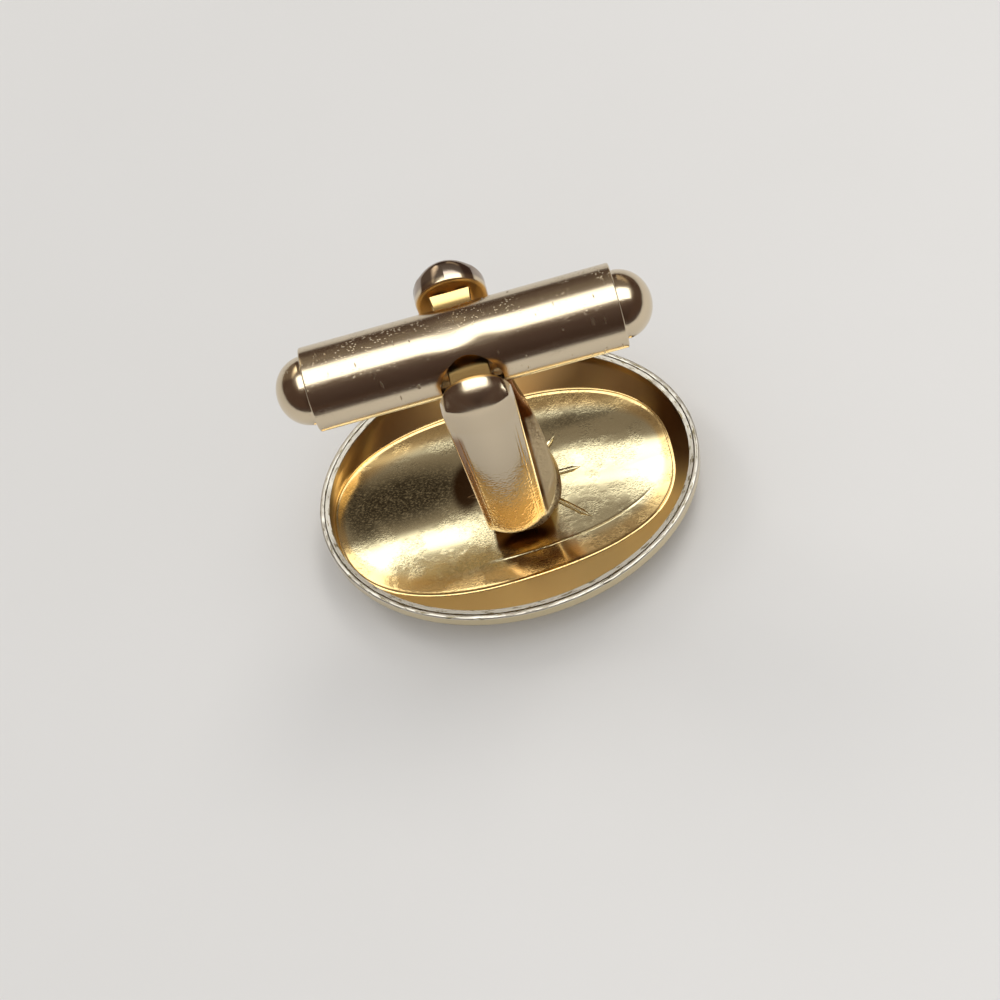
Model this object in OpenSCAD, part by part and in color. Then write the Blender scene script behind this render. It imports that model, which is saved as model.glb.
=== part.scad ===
// Oval cufflink with a swivel toggle bar.
// The head lies on its face: origin at the middle of the face, X along the oval's long side
// and the toggle bar, Y across it along the cross pin, Z up from the face to the bar.

/* [Head] */
// Length of the oval head, along the bar
head_l = 19.8; // [18:0.1:22]
// Width of the oval head, across the bar
head_w = 15.3; // [14.4:0.1:17]
// Height of the head, from its face to the top of the rim
head_h = 2.5; // [2.3:0.05:3]
// Sheet thickness of the face cover
cover_t = 0.25; // [0.2:0.01:0.32]
// Sheet thickness of the back pan
pan_t = 0.22; // [0.18:0.01:0.28]
// Height of the upright band round the rim
band_h = 0.75; // [0.6:0.05:0.9]
// Run from the head's edge to the foot of the dish's wall, at each end
end_run = 0.95; // [0.9:0.05:1.3]
// Run from the head's edge to the foot of the dish's wall, at each long side
side_run = 2.55; // [2.2:0.05:2.8]
// How far the dish is struck off the head's middle, along the bar
dish_off = 0.3; // [0:0.05:0.35]
// Height of the middle of the dished floor above the face
floor_h = 1.35; // [1.25:0.05:1.5]
// How far the floor's long sides drop below its middle
floor_drop = 0.3; // [0.1:0.05:0.4]
// Ledge between the foot of the wall and the floor's crease, at each end
end_ledge = 0.85; // [0.65:0.05:1.35]
// Ledge between the foot of the wall and the floor's crease, at each long side
side_ledge = 1.65; // [1.1:0.05:2.1]

/* [Star under the foot] */
// Tip-to-tip size of the struck star
star_d = 8; // [7:0.1:9]
// Width of a ray at its root
ray_w = 0.36; // [0.26:0.02:0.5]
// Height of a ray above the floor
ray_h = 0.1; // [0.06:0.01:0.14]
// Number of rays
rays = 8; // [6:1:10]

/* [Fork] */
// Thickness of the fork's strap
fork_t = 1.3; // [1.15:0.05:1.4]
// Width of the fork's strap at its foot
fork_w = 3; // [2.8:0.05:3.2]
// Width of the round ears at the top of the arms
ear_d = 3.4; // [3.2:0.05:3.6]
// Radius that rounds over the outer top of each ear
ear_round = 1.1; // [0.9:0.05:1.1]
// Outer radius of the bends at the foot
bend_r = 3.2; // [2.8:0.1:3.4]
// Height of the pivot above the face
pivot_h = 15.83; // [15.3:0.05:17]
// Radius along the strap's edges
strap_edge_r = 0.3; // [0.2:0.02:0.34]
// How far the foot's lug stands out past one edge of the strap
lug_w = 0.95; // [0.7:0.05:1.05]
// How far the lug runs up the far arm, measured along the strap from the foot's middle
lug_up = 8.3; // [7.5:0.1:9]
// How far the lug runs towards the near arm
lug_near = 3.4; // [3:0.1:3.6]

/* [Cross pin] */
// Side of the square cross pin
pin_side = 2; // [1.8:0.05:2.1]
// Diameter of the pin's round ends in the ears
tenon_d = 1.5; // [1.3:0.05:1.6]
// Length of each round end inside its ear
tenon_l = 0.6; // [0.5:0.05:0.65]

/* [Toggle bar] */
// Outer diameter of the bar's tube
bar_d = 4; // [3.8:0.05:4.3]
// Length of the bar's tube
bar_l = 14.7; // [14:0.1:15.3]
// Wall of the bar's tube
bar_wall = 0.35; // [0.28:0.01:0.42]
// How far each round end stands out of the tube
dome_out = 1.55; // [1.3:0.05:1.6]
// Length of each end cap's plug inside the tube
plug_l = 1.3; // [1:0.05:1.5]

/* [Detent] */
// Length of each plunger
plunger_l = 1.8; // [1.5:0.05:2]
// Depth of the spring pocket in each plunger
pocket_l = 1.1; // [0.9:0.05:1.2]
// Wire diameter of the detent springs
wire_d = 0.3; // [0.24:0.02:0.34]
// Number of curls in each spring
curls = 4; // [3:0.5:4]

/* [Hidden] */

// Colours of the finishes
gold = [0.80, 0.61, 0.29];
satin_gold = [0.78, 0.66, 0.42];
pale_gold = [0.82, 0.75, 0.60];
champagne = [0.79, 0.73, 0.63];
solder_colour = [0.84, 0.80, 0.70];
spring_steel = [0.62, 0.63, 0.65];

// Smoothness: points round the oval, a bend, an ear, a strap corner and a true circle
oval_n = 108;
bend_n = 12;
ear_n = 9;
corner_n = 4;
$fn = 64;

// Head: clearances and small sizes
nest_gap = 0.03;
band_edge_r = 0.08;
lip_h = 0.42;
lip_in_x = 0.05;
lip_in_y = 0.16;
crease_h = 0.05;
crease_run = 0.14;
rim_t = cover_t + nest_gap + pan_t;
dish_a = head_l / 2 - end_run;
dish_b = head_w / 2 - side_run;
field_a = dish_a - end_ledge;
field_b = dish_b - side_ledge;

// Domed face: rings as shares of the head's half length, half width and height
face_shares = [[0.66, 0.52, 0], [0.85, 0.75, 0.1], [0.955, 0.885, 0.3], [0.985, 0.95, 0.6]];

// Which way a sheet's thickness goes at a ring: shares of it outwards in X, outwards in Y,
// downwards at the oval's ends and downwards at its long sides
face_lean_shares = [[0, 0, 1, 1], [0.25, 0.35, 0.95, 0.9], [0.8, 0.7, 0.6, 0.7], [1, 0.95, 0.2, 0.3]];
rim_lean_shares = [1, 1, 0, 0];
lip_lean_shares = [1, 0.8, 0.1, 0.55];
foot_lean_shares = [0.75, 0.35, 0.65, 0.95];
flat_lean_shares = [0, 0, 1, 1];

// Floor rings inside the crease, as shares of the field's size
floor_shares = [0.8, 0.6, 0.4, 0.2];

// How square the oval is: 2 is an ellipse
rim_power_share = 2;
foot_power_share = 2.5;
field_power_share = 2.3;

// A ring is [half length, half width, height at the ends, extra height at the long sides,
// squareness, place along X]
function floor_bow(y) = -floor_drop * pow(y / dish_b, 2);
function moved(ring, t, shares) = [
    ring[0] + shares[0] * t,
    ring[1] + shares[1] * t,
    ring[2] - shares[2] * t,
    ring[3] - (shares[3] - shares[2]) * t,
    ring[4],
    ring[5]
];
rim_in = [head_l / 2 - rim_t, head_w / 2 - rim_t, head_h, 0, rim_power_share, 0];
lip_in = [rim_in[0] - lip_in_x, rim_in[1] - lip_in_y, head_h - lip_h, 0, rim_power_share, 0];
wall_foot = [dish_a, dish_b, floor_h + crease_h, -floor_drop, foot_power_share, -dish_off];
crease_out = [field_a + crease_run, field_b + crease_run, floor_h + crease_h,
    floor_bow(field_b + crease_run), field_power_share, -dish_off];
crease_in = [field_a, field_b, floor_h, floor_bow(field_b), field_power_share, -dish_off];
function floor_ring(share) = [share * crease_in[0], share * crease_in[1], floor_h,
    floor_bow(share * crease_in[1]), rim_power_share, -dish_off * share];

function power(v, e) = sign(v) * pow(abs(v), e);
function oval(ring) = [for (i = [0 : oval_n - 1]) let (
        a = 360 * i / oval_n,
        x = power(cos(a), 2 / ring[4]),
        y = power(sin(a), 2 / ring[4]))
    [ring[0] * x + ring[5], ring[1] * y, ring[2] + ring[3] * y * y]];

// Fork: sizes that follow from the bar and the pin
ear_clear = 0.62;
foot_clear = 0.6;
ear_gap = bar_d + 2 * ear_clear;
foot_z = floor_h + ray_h + nest_gap;
foot_out = bar_d / 2 + foot_clear + fork_t;
bend_z = foot_z + bend_r;
mid_r = bend_r - fork_t / 2;
foot_half = foot_out - bend_r;
lean = atan((ear_gap / 2 + fork_t / 2 - foot_half - mid_r) / (pivot_h - bend_z));
arm_low = [foot_half + mid_r * cos(lean), bend_z - mid_r * sin(lean)];
arm_l = (pivot_h - arm_low[1]) / cos(lean);
ear_grow_share = 0.8;
ear_stop = 84;
socket_gap = 0.02;
socket_d = tenon_d + 2 * socket_gap;
pin_end_gap = 0.08;

// Braze at the foot
braze_margin = 0.36;
braze_l = 5.4;
braze_w = fork_w + lug_w + 2 * braze_margin;
braze_x = lug_w / 2;
braze_y = 0.1;
braze_h = 0.52;
seat_gap = 0.02;
braze_ring_shares = [[0.98, 0], [1, 0.12], [0.95, 0.45], [0.86, 0.75], [0.7, 1]];

// Toggle bar and detent: sizes that follow from the bar and the pin
swivel_gap = 0.06;
bore_d = bar_d - 2 * bar_wall;
pin_corner = pin_side / 2 * sqrt(2);
cross_hole_d = 2 * (pin_corner + swivel_gap);
tube_edge = 0.05;
plug_gap = 0.02;
cap_d = bore_d - 2 * plug_gap;
slide_gap = 0.06;
plunger_d = bore_d - 2 * slide_gap;
plunger_x = pin_corner + swivel_gap / 2;
pocket_wall = 0.3;
pocket_d = plunger_d - 2 * pocket_wall;
spring_side_gap = 0.05;
spring_r = pocket_d / 2 - spring_side_gap - wire_d / 2;
spring_end_gap = 0.02;
spring_x0 = plunger_x + plunger_l - pocket_l + spring_end_gap;
spring_x1 = bar_l / 2 - plug_l - spring_end_gap;
wire_sides = 6;
curl_rings = 8;
over = 0.5;

// A closed solid through a list of rings that all have as many points
module loft(rings) {
    n = len(rings[0]);
    m = len(rings);
    points = [for (ring = rings) for (p = ring) p];
    sides = [for (i = [0 : m - 2]) for (j = [0 : n - 1]) let (k = (j + 1) % n)
        each [[i * n + j, (i + 1) * n + j, (i + 1) * n + k], [i * n + j, (i + 1) * n + k, i * n + k]]];
    first_cap = [for (j = [1 : n - 2]) [0, j, j + 1]];
    last_cap = [for (j = [1 : n - 2]) [(m - 1) * n, (m - 1) * n + j + 1, (m - 1) * n + j]];
    polyhedron(points, concat(first_cap, sides, last_cap));
}

// A sheet-metal shell: rings from the middle of its underside, out over the rim and back in
module shell(rings, under_z, top_z) {
    n = oval_n;
    m = len(rings);
    points = concat([for (ring = rings) each oval(ring)], [[0, 0, under_z], [0, 0, top_z]]);
    sides = [for (i = [0 : m - 2]) for (j = [0 : n - 1]) let (k = (j + 1) % n)
        each [[i * n + j, (i + 1) * n + j, (i + 1) * n + k], [i * n + j, (i + 1) * n + k, i * n + k]]];
    under = [for (j = [0 : n - 1]) [m * n, j, (j + 1) % n]];
    top = [for (j = [0 : n - 1]) [m * n + 1, (m - 1) * n + (j + 1) % n, (m - 1) * n + j]];
    polyhedron(points, concat(under, sides, top));
}

// Face of the cufflink: a plain domed oval whose upright band holds the pan
module face_cover() {
    a = head_l / 2;
    b = head_w / 2;
    p = rim_power_share;
    face = [for (f = face_shares) [f[0] * a, f[1] * b, f[2] * (head_h - band_h), 0, p, 0]];
    last = len(face) - 1;
    color(pale_gold) shell(concat(
        face,
        [[a, b, head_h - band_h, 0, p, 0],
         [a, b, head_h - band_edge_r, 0, p, 0],
         [a - band_edge_r, b - band_edge_r, head_h, 0, p, 0],
         [a - cover_t, b - cover_t, head_h, 0, p, 0],
         [a - cover_t, b - cover_t, head_h - band_h, 0, p, 0]],
        [for (i = [last : -1 : 0]) moved(face[i], -cover_t, face_lean_shares[i])]
    ), 0, cover_t);
}

// Distance from the star's middle to the edge of the braze, along a ray
function braze_edge(turn) = let (
        p = cos(turn) / (braze_w / 2),
        q = sin(turn) / (braze_l / 2),
        u = braze_x / (braze_w / 2),
        v = braze_y / (braze_l / 2),
        a = p * p + q * q,
        b = p * u + q * v,
        c = u * u + v * v - 1)
    (b + sqrt(b * b - a * c)) / a;

// One ray of the star, from the edge of the braze out, following the curved floor
module ray(turn) {
    root = braze_edge(turn) + nest_gap;
    tip = star_d / 2;
    steps = 6;
    color(satin_gold) loft([for (i = [0 : steps]) let (
            r = root + (tip - root) * i / steps,
            w = ray_w / 2 * (1 - pow(i / steps, 3) * ear_grow_share),
            h = ray_h * (1 - pow(i / steps, 3) * ear_grow_share),
            y = r * sin(turn),
            z = floor_h + floor_bow(y),
            side = [-sin(turn), cos(turn)],
            mid = [r * cos(turn), y])
        [[mid[0] - w * side[0], mid[1] - w * side[1], z - pan_t / 4],
         [mid[0], mid[1], z + h],
         [mid[0] + w * side[0], mid[1] + w * side[1], z - pan_t / 4]]]);
}

// Back pan: the gilt dish that stiffens the head, with the struck star that keys the foot
star_turn = 7;
module pan_sheet() {
    shell(concat(
        [for (share = [floor_shares[3], floor_shares[2], floor_shares[1], floor_shares[0]])
            moved(floor_ring(share), pan_t, flat_lean_shares)],
        [moved(crease_in, pan_t, flat_lean_shares),
         moved(crease_out, pan_t, flat_lean_shares),
         moved(wall_foot, pan_t, foot_lean_shares),
         moved(lip_in, pan_t, lip_lean_shares),
         moved(rim_in, pan_t, rim_lean_shares),
         rim_in,
         lip_in,
         wall_foot,
         crease_out,
         crease_in],
        [for (share = floor_shares) floor_ring(share)]
    ), floor_h - pan_t, floor_h);
}
module back_pan() {
    color(satin_gold) union() {
        pan_sheet();
        for (k = [0 : rays - 1]) ray(star_turn + 360 * k / rays);
    }
}

// Section of the strap at one station: [y, z, direction, half width, half thickness, place along X]
function strap_ring(s) = let (
        r = min(strap_edge_r, s[3] * ear_grow_share, s[4] * ear_grow_share),
        out = [sin(s[2]), -cos(s[2])])
    [for (q = [0 : 3]) for (c = [0 : corner_n - 1]) let (
        a = 90 * q + 90 * c / (corner_n - 1),
        sx = (q == 0 || q == 3) ? 1 : -1,
        sn = q < 2 ? 1 : -1,
        x = sx * (s[3] - r) + r * cos(a),
        n = sn * (s[4] - r) + r * sin(a))
        [x + s[5], s[0] + n * out[0], s[1] + n * out[1]]];

// Half width of the strap at a distance along the arm: it widens steadily to the ear
function strap_half(d) = fork_w / 2 + (ear_d - fork_w) / 2 * d / arm_l;

// The lug, hammered out to one side, fades along the strap within its reach
function lug_half(d, reach) = d < reach ? lug_w / 4 * (1 + cos(180 * d / reach)) : 0;
function foot_end() = foot_half + mid_r * (90 - lean) * PI / 180;

// How far the outer face falls back at a height above the pivot, where the ear's top is rounded
function ear_cut(up) = let (v = max(0, up - ear_d / 2 + ear_round))
    ear_round - sqrt(ear_round * ear_round - v * v);

// Stations along one half of the strap, from the middle of the foot to the top of the ear
arm_stations = 10;
function half_strap(reach) = concat(
    [let (g = lug_half(0, reach))
        [0, bend_z - mid_r, 0, fork_w / 2 + g, fork_t / 2, g]],
    [for (i = [0 : bend_n]) let (
            f = -90 + (90 - lean) * i / bend_n,
            g = lug_half(foot_half + mid_r * (f + 90) * PI / 180, reach))
        [foot_half + mid_r * cos(f), bend_z + mid_r * sin(f), f + 90, fork_w / 2 + g, fork_t / 2, g]],
    [for (i = [1 : arm_stations]) let (d = arm_l * i / arm_stations, g = lug_half(foot_end() + d, reach))
        [arm_low[0] + d * sin(lean), arm_low[1] + d * cos(lean), 90 - lean, strap_half(d) + g, fork_t / 2, g]],
    [for (i = [1 : ear_n]) let (
            f = ear_stop * i / ear_n,
            up = ear_d / 2 * sin(f),
            cut = ear_cut(up),
            d = arm_l + up)
        [arm_low[0] + d * sin(lean) - cut / 2 * cos(lean), arm_low[1] + d * cos(lean) + cut / 2 * sin(lean),
         90 - lean, ear_d / 2 * cos(f), (fork_t - cut) / 2, 0]]
);
function turned(s) = [-s[0], s[1], -s[2], s[3], s[4], s[5]];
module strap() {
    near = half_strap(lug_near);
    far = half_strap(lug_up);
    n = len(near);
    loft(concat([for (i = [n - 1 : -1 : 1]) strap_ring(turned(near[i]))],
        [for (s = far) strap_ring(s)]));
}

// Fork: one strap bent to a U, whose two ears hold the cross pin in blind sockets
module fork() {
    color(gold) difference() {
        strap();
        translate([0, 0, pivot_h]) rotate([90, 0, 0])
            cylinder(d = socket_d, h = ear_gap + 2 * (tenon_l + socket_gap), center = true);
    }
}

// Braze that joins the foot to the pan, pooled a little to one side as in the photograph
function braze_ring(s) = [for (i = [0 : 47]) let (a = 360 * i / 48, y = braze_y + s[0] * braze_l / 2 * sin(a))
    [braze_x + s[0] * braze_w / 2 * cos(a), y, floor_h + floor_bow(y) + seat_gap + s[1] * braze_h]];
module solder_fillet() {
    color(solder_colour) difference() {
        loft([for (s = braze_ring_shares) braze_ring(s)]);
        strap();
    }
}

// Cross pin: a square bar that the toggle clicks round, with round ends
module cross_pin() {
    body_l = ear_gap - 2 * pin_end_gap;
    color(gold) translate([0, 0, pivot_h]) union() {
        cube([pin_side, body_l, pin_side], center = true);
        rotate([90, 0, 0]) cylinder(d = tenon_d, h = ear_gap + 2 * tenon_l, center = true);
    }
}

// Places a piece that is drawn along +Z, from the pivot out, on one side of the bar
module on_bar(side) {
    translate([0, 0, pivot_h]) rotate([0, 90 * side, 0]) children();
}

// Tube of the toggle bar, cross-drilled for the pin
module bar_tube() {
    r = bar_d / 2;
    color(champagne) difference() {
        on_bar(1) rotate_extrude() polygon([
            [bore_d / 2, -bar_l / 2],
            [r - tube_edge, -bar_l / 2],
            [r, tube_edge - bar_l / 2],
            [r, bar_l / 2 - tube_edge],
            [r - tube_edge, bar_l / 2],
            [bore_d / 2, bar_l / 2]
        ]);
        translate([0, 0, pivot_h]) rotate([90, 0, 0])
            cylinder(d = cross_hole_d, h = bar_d + 2 * over, center = true);
    }
}

// End cap: a plug with a round end
dome_sink = cap_d / 2 - dome_out;
module end_cap(side) {
    color(champagne) on_bar(side) translate([0, 0, bar_l / 2]) union() {
        translate([0, 0, -plug_l]) cylinder(d = cap_d, h = plug_l);
        intersection() {
            translate([0, 0, -dome_sink]) sphere(d = cap_d);
            cylinder(d = cap_d, h = cap_d);
        }
    }
}

// Plunger that its spring presses on a flat of the pin
plunger_edge = 0.1;
module plunger(side) {
    r = plunger_d / 2;
    color(spring_steel) on_bar(side) translate([0, 0, plunger_x]) difference() {
        rotate_extrude() polygon([
            [0, 0],
            [r - plunger_edge, 0],
            [r, plunger_edge],
            [r, plunger_l],
            [0, plunger_l]
        ]);
        translate([0, 0, plunger_l - pocket_l]) cylinder(d = pocket_d, h = pocket_l + over);
    }
}

// Detent spring: one wire, its ends straight for a wire's diameter
wire_x0 = spring_x0 + wire_d;
wire_x1 = spring_x1 - wire_d;
function wire_mid(t) = [spring_r * cos(360 * t * curls), spring_r * sin(360 * t * curls),
    wire_x0 + (wire_x1 - wire_x0) * t];
function wire_ring(c, way) = let (
        w = way / norm(way),
        outward = [c[0], c[1], 0] / norm([c[0], c[1], 0]),
        flat_out = outward - w * (outward * w),
        u = flat_out / norm(flat_out),
        v = cross(w, u))
    [for (i = [0 : wire_sides - 1]) let (a = -360 * i / wire_sides)
        c + wire_d / 2 * (cos(a) * u + sin(a) * v)];
wire_steps = curl_rings * curls;
function wire_way(t) = [-spring_r * 2 * PI * curls * sin(360 * t * curls),
    spring_r * 2 * PI * curls * cos(360 * t * curls), wire_x1 - wire_x0];
module spring_wire() {
    start = wire_mid(0);
    stop = wire_mid(1);
    up = [0, 0, wire_d];
    loft(concat(
        [wire_ring(start - up, up)],
        [for (i = [0 : wire_steps]) wire_ring(wire_mid(i / wire_steps),
            wire_way(i / wire_steps) + (i == 0 || i == wire_steps ? norm(wire_way(0)) * [0, 0, 1] : [0, 0, 0]))],
        [wire_ring(stop + up, up)]
    ));
}
module spring(side) {
    color(spring_steel) on_bar(side) spring_wire();
}

// The least gap between one curl and the next, measured on the wire's middle line
curl_gaps = [for (i = [0 : wire_steps - curl_rings]) for (j = [i + curl_rings - 2 : wire_steps])
    norm(wire_mid(i / wire_steps) - wire_mid(j / wire_steps)) - wire_d];
echo(least_gap_between_curls = min(curl_gaps));

face_cover();
back_pan();
fork();
solder_fillet();
cross_pin();
bar_tube();
end_cap(-1);  // left_end_cap
end_cap(1);  // right_end_cap
plunger(-1);  // left_plunger
plunger(1);  // right_plunger
spring(-1);  // left_spring
spring(1);  // right_spring
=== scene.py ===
"""Oval cufflink with a swivel toggle bar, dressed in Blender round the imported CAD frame."""
import math

import bmesh
import bpy
import numpy as np
from mathutils import Matrix, Vector


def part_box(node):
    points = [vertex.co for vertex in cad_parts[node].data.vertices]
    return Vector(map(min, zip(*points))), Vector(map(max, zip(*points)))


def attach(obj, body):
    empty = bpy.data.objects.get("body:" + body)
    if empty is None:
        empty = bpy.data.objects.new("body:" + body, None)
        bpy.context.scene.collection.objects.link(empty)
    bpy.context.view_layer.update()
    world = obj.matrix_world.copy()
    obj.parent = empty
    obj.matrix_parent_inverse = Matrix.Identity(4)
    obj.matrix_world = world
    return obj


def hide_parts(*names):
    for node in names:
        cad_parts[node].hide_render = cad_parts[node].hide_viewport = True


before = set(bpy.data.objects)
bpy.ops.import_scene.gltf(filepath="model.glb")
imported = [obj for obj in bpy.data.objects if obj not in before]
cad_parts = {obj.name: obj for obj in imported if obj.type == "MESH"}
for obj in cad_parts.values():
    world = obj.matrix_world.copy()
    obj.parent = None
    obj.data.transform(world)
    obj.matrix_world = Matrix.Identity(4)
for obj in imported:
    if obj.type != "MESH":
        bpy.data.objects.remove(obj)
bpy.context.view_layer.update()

bl_info = {
    "name": "Swivel-bar cufflink",
    "version": (1, 0, 0),
    "blender": (4, 5, 0),
    "location": "3D View > Sidebar > Cufflink",
    "description": "Builds an oval cufflink with a bent fork and a clicking toggle bar",
    "category": "Add Mesh",
}

MM = 0.001
HEAD_LOW, HEAD_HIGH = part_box("face_cover")
TUBE_LOW, TUBE_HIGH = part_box("bar_tube")
FORK_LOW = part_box("fork")[0]
CAP_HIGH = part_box("right_end_cap")[1]


# Sizes and colours that a user would change

def length_of(name, text, default, **more):
    """A length in metres, shown with its unit."""
    return bpy.props.FloatProperty(
        name=name, description=text, default=default, unit="LENGTH", precision=5, **more)


def colour_of(name, text, default):
    """A colour as an sRGB hex value."""
    return bpy.props.StringProperty(name=name, description=text, default=default)


class CufflinkHead(bpy.types.PropertyGroup):
    length: length_of("Length", "Oval head along the bar", HEAD_HIGH.x - HEAD_LOW.x)
    width: length_of("Width", "Oval head across the bar", HEAD_HIGH.y - HEAD_LOW.y)
    height: length_of("Height", "Face to the top of the rim", HEAD_HIGH.z - HEAD_LOW.z)
    cover_sheet: length_of("Cover sheet", "Thickness of the face cover's sheet", 0.25 * MM)
    pan_sheet: length_of("Pan sheet", "Thickness of the back pan's sheet", 0.22 * MM)
    seam: length_of("Seam", "Gap between the cover's edge and the pan's", 0.03 * MM)
    band: length_of("Band", "Upright band round the rim", 0.75 * MM)
    floor_height: length_of("Floor height", "Middle of the dished floor above the face", 1.35 * MM)
    crown: length_of("Crown radius", "Radius of the floor's long crown", 20.5 * MM)
    field_length: length_of("Field length", "Field inside the crease, along the bar", 16.6 * MM)
    field_width: length_of("Field width", "Field inside the crease, across the bar", 7.4 * MM)
    dish_length: length_of("Dish length", "Floor up to its wall, along the bar", 17.7 * MM)
    dish_width: length_of("Dish width", "Floor up to its wall, across the bar", 10.2 * MM)
    dish_shift: length_of("Dish shift", "How far the dish is struck off the middle", 0.42 * MM)


class CufflinkStar(bpy.types.PropertyGroup):
    rays: bpy.props.IntProperty(name="Rays", description="Rays of the struck star", default=8, min=3)
    tip: length_of("Tip radius", "Middle of the star to the longest ray's tip", 4.15 * MM)
    root: length_of("Root radius", "Middle of the star to a ray's root", 1.2 * MM)
    width: length_of("Ray width", "Distance between a ray's two lines", 0.3 * MM)
    height: length_of("Ray height", "Height of a ray's lines over the floor", 0.06 * MM)
    shift: length_of("Shift", "How far the star is struck off the middle, along the bar", 0.7 * MM)
    turn: bpy.props.FloatProperty(
        name="Turn", description="Turn of the star on the floor", default=0.0,
        subtype="ANGLE")


class CufflinkFork(bpy.types.PropertyGroup):
    thickness: length_of("Thickness", "Strap's thickness", 1.3 * MM)
    foot_width: length_of("Foot width", "Strap's width at its foot", 3.0 * MM)
    ear: length_of("Ear", "Diameter of the round ears", 3.4 * MM)
    ear_round: length_of("Ear rounding", "Radius over the outer top of the near ear", 1.3 * MM)
    bend: length_of("Bend", "Outer radius of the bends", 3.2 * MM)
    ear_gap: length_of("Ear gap", "Between the ears' inner faces", 5.24 * MM)
    foot_gap: length_of("Foot gap", "Between the arms above the bends", 5.2 * MM)
    lift: length_of("Lift", "Foot's underside above the face", FORK_LOW.z)
    pivot: length_of("Pivot", "Height of the pivot", (TUBE_LOW.z + TUBE_HIGH.z) / 2)
    edge: length_of("Edge radius", "Radius along the strap's edges", 0.2 * MM)
    crown: length_of("Crown", "How far the outer face is crowned", 0.44 * MM)
    lug: length_of("Lug", "How far the lug stands out of one edge", 0.95 * MM)
    lug_up: length_of("Lug run up", "Lug's reach up the far arm", 8.3 * MM)
    lug_near: length_of("Lug run near", "Lug's reach towards the near arm", 3.4 * MM)
    pin_side: length_of("Pin side", "Side of the square cross pin", 2.0 * MM)
    tenon: length_of("Tenon", "Diameter of the pin's round ends", 1.5 * MM)
    tenon_length: length_of("Tenon length", "Each round end inside its ear", 0.6 * MM)


class CufflinkBar(bpy.types.PropertyGroup):
    diameter: length_of("Diameter", "Outside of the tube", TUBE_HIGH.z - TUBE_LOW.z)
    length: length_of("Length", "Length of the tube", TUBE_HIGH.x - TUBE_LOW.x)
    wall: length_of("Wall", "Wall of the tube", 0.35 * MM)
    reach: length_of("Reach", "Pivot to the tip of an end cap", CAP_HIGH.x)
    plug: length_of("Plug", "Plug of an end cap inside the tube", 1.3 * MM)
    hole: length_of("Cross hole", "Hole for the cross pin", 2.948 * MM)
    curls: bpy.props.IntProperty(name="Curls", description="Curls of a detent spring", default=4, min=2)
    wire: length_of("Wire", "Wire of the detent springs", 0.3 * MM)


class CufflinkFinish(bpy.types.PropertyGroup):
    champagne: colour_of("Champagne plate", "Tube, end caps and fork", "#D9C9AE")
    gilt: colour_of("Gilt", "Walls and ledge of the back pan", "#EBCB8E")
    worn_gilt: colour_of("Worn gilt", "Floor of the back pan", "#E6DAB2")
    tarnish: colour_of("Tarnish", "Dull patches on the floor", "#4E4430")
    pale_gilt: colour_of("Pale gilt", "Face cover", "#E2D2AC")
    worn: colour_of("Worn edge", "Base metal where the gilt has rubbed off", "#DCD8CE")
    solder: colour_of("Solder", "Braze at the foot", "#DACBA6")
    steel: colour_of("Steel", "Plungers and springs", "#C3C4C6")
    paper: colour_of("Paper", "The sheet that it lies on", "#E4E2DF")


class CufflinkSettings(bpy.types.PropertyGroup):
    head: bpy.props.PointerProperty(type=CufflinkHead)
    star: bpy.props.PointerProperty(type=CufflinkStar)
    fork: bpy.props.PointerProperty(type=CufflinkFork)
    bar: bpy.props.PointerProperty(type=CufflinkBar)
    finish: bpy.props.PointerProperty(type=CufflinkFinish)


# Node helpers

def linear(hex_colour):
    """An sRGB hex value as a linear RGBA colour."""
    parts = [int(hex_colour[i:i + 2], 16) / 255 for i in (1, 3, 5)]
    return tuple(c / 12.92 if c <= 0.04045 else ((c + 0.055) / 1.055) ** 2.4 for c in parts) + (1.0,)


def feed(tree, made, inputs):
    """Sets and links a node's inputs. A string is a hex colour, and a node given as a value
    stands for its first live output."""
    for name, value in inputs.items():
        if isinstance(value, str):
            value = linear(value)
        if isinstance(value, bpy.types.Node):
            value = next(socket for socket in value.outputs if socket.enabled)
        if isinstance(value, bpy.types.NodeSocket):
            tree.links.new(value, made.inputs[name])
        else:
            made.inputs[name].default_value = value


def node(tree, kind, inputs=None, stops=None, **settings):
    """Adds one node with its settings, its values and its links; stops fill a colour ramp."""
    made = tree.nodes.new(kind)
    for name, value in settings.items():
        setattr(made, name, value)
    if stops:
        ramp = made.color_ramp.elements
        ramp.remove(ramp[-1])
        ramp[0].position, ramp[0].color = stops[0]
        for place, colour in stops[1:]:
            ramp.new(place).color = colour
    feed(tree, made, inputs or {})
    return made


def times(tree, *values):
    """The product of some values."""
    total = values[0]
    for value in values[1:]:
        total = node(tree, "ShaderNodeMath", {0: total, 1: value}, operation="MULTIPLY")
    return total


def summed(tree, total, *shares):
    """A value to which each mask adds its own amount."""
    for mask, amount in shares:
        total = node(tree, "ShaderNodeMath", {0: mask, 1: amount, 2: total}, operation="MULTIPLY_ADD")
    return total


def within(tree, *limits):
    """A soft-edged mask: each limit is a value, where the mask starts and where it is full."""
    return times(tree, *[node(tree, "ShaderNodeMapRange", {
        "Value": value, "From Min": start, "From Max": full}, interpolation_type="SMOOTHSTEP")
        for value, start, full in limits])


def painted(tree, tone, *coats):
    """A colour with coats over it in turn, each a mask and its colour."""
    for mask, coat in coats:
        tone = node(tree, "ShaderNodeMix", {0: mask, 6: tone, 7: coat}, data_type="RGBA")
    return tone


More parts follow.
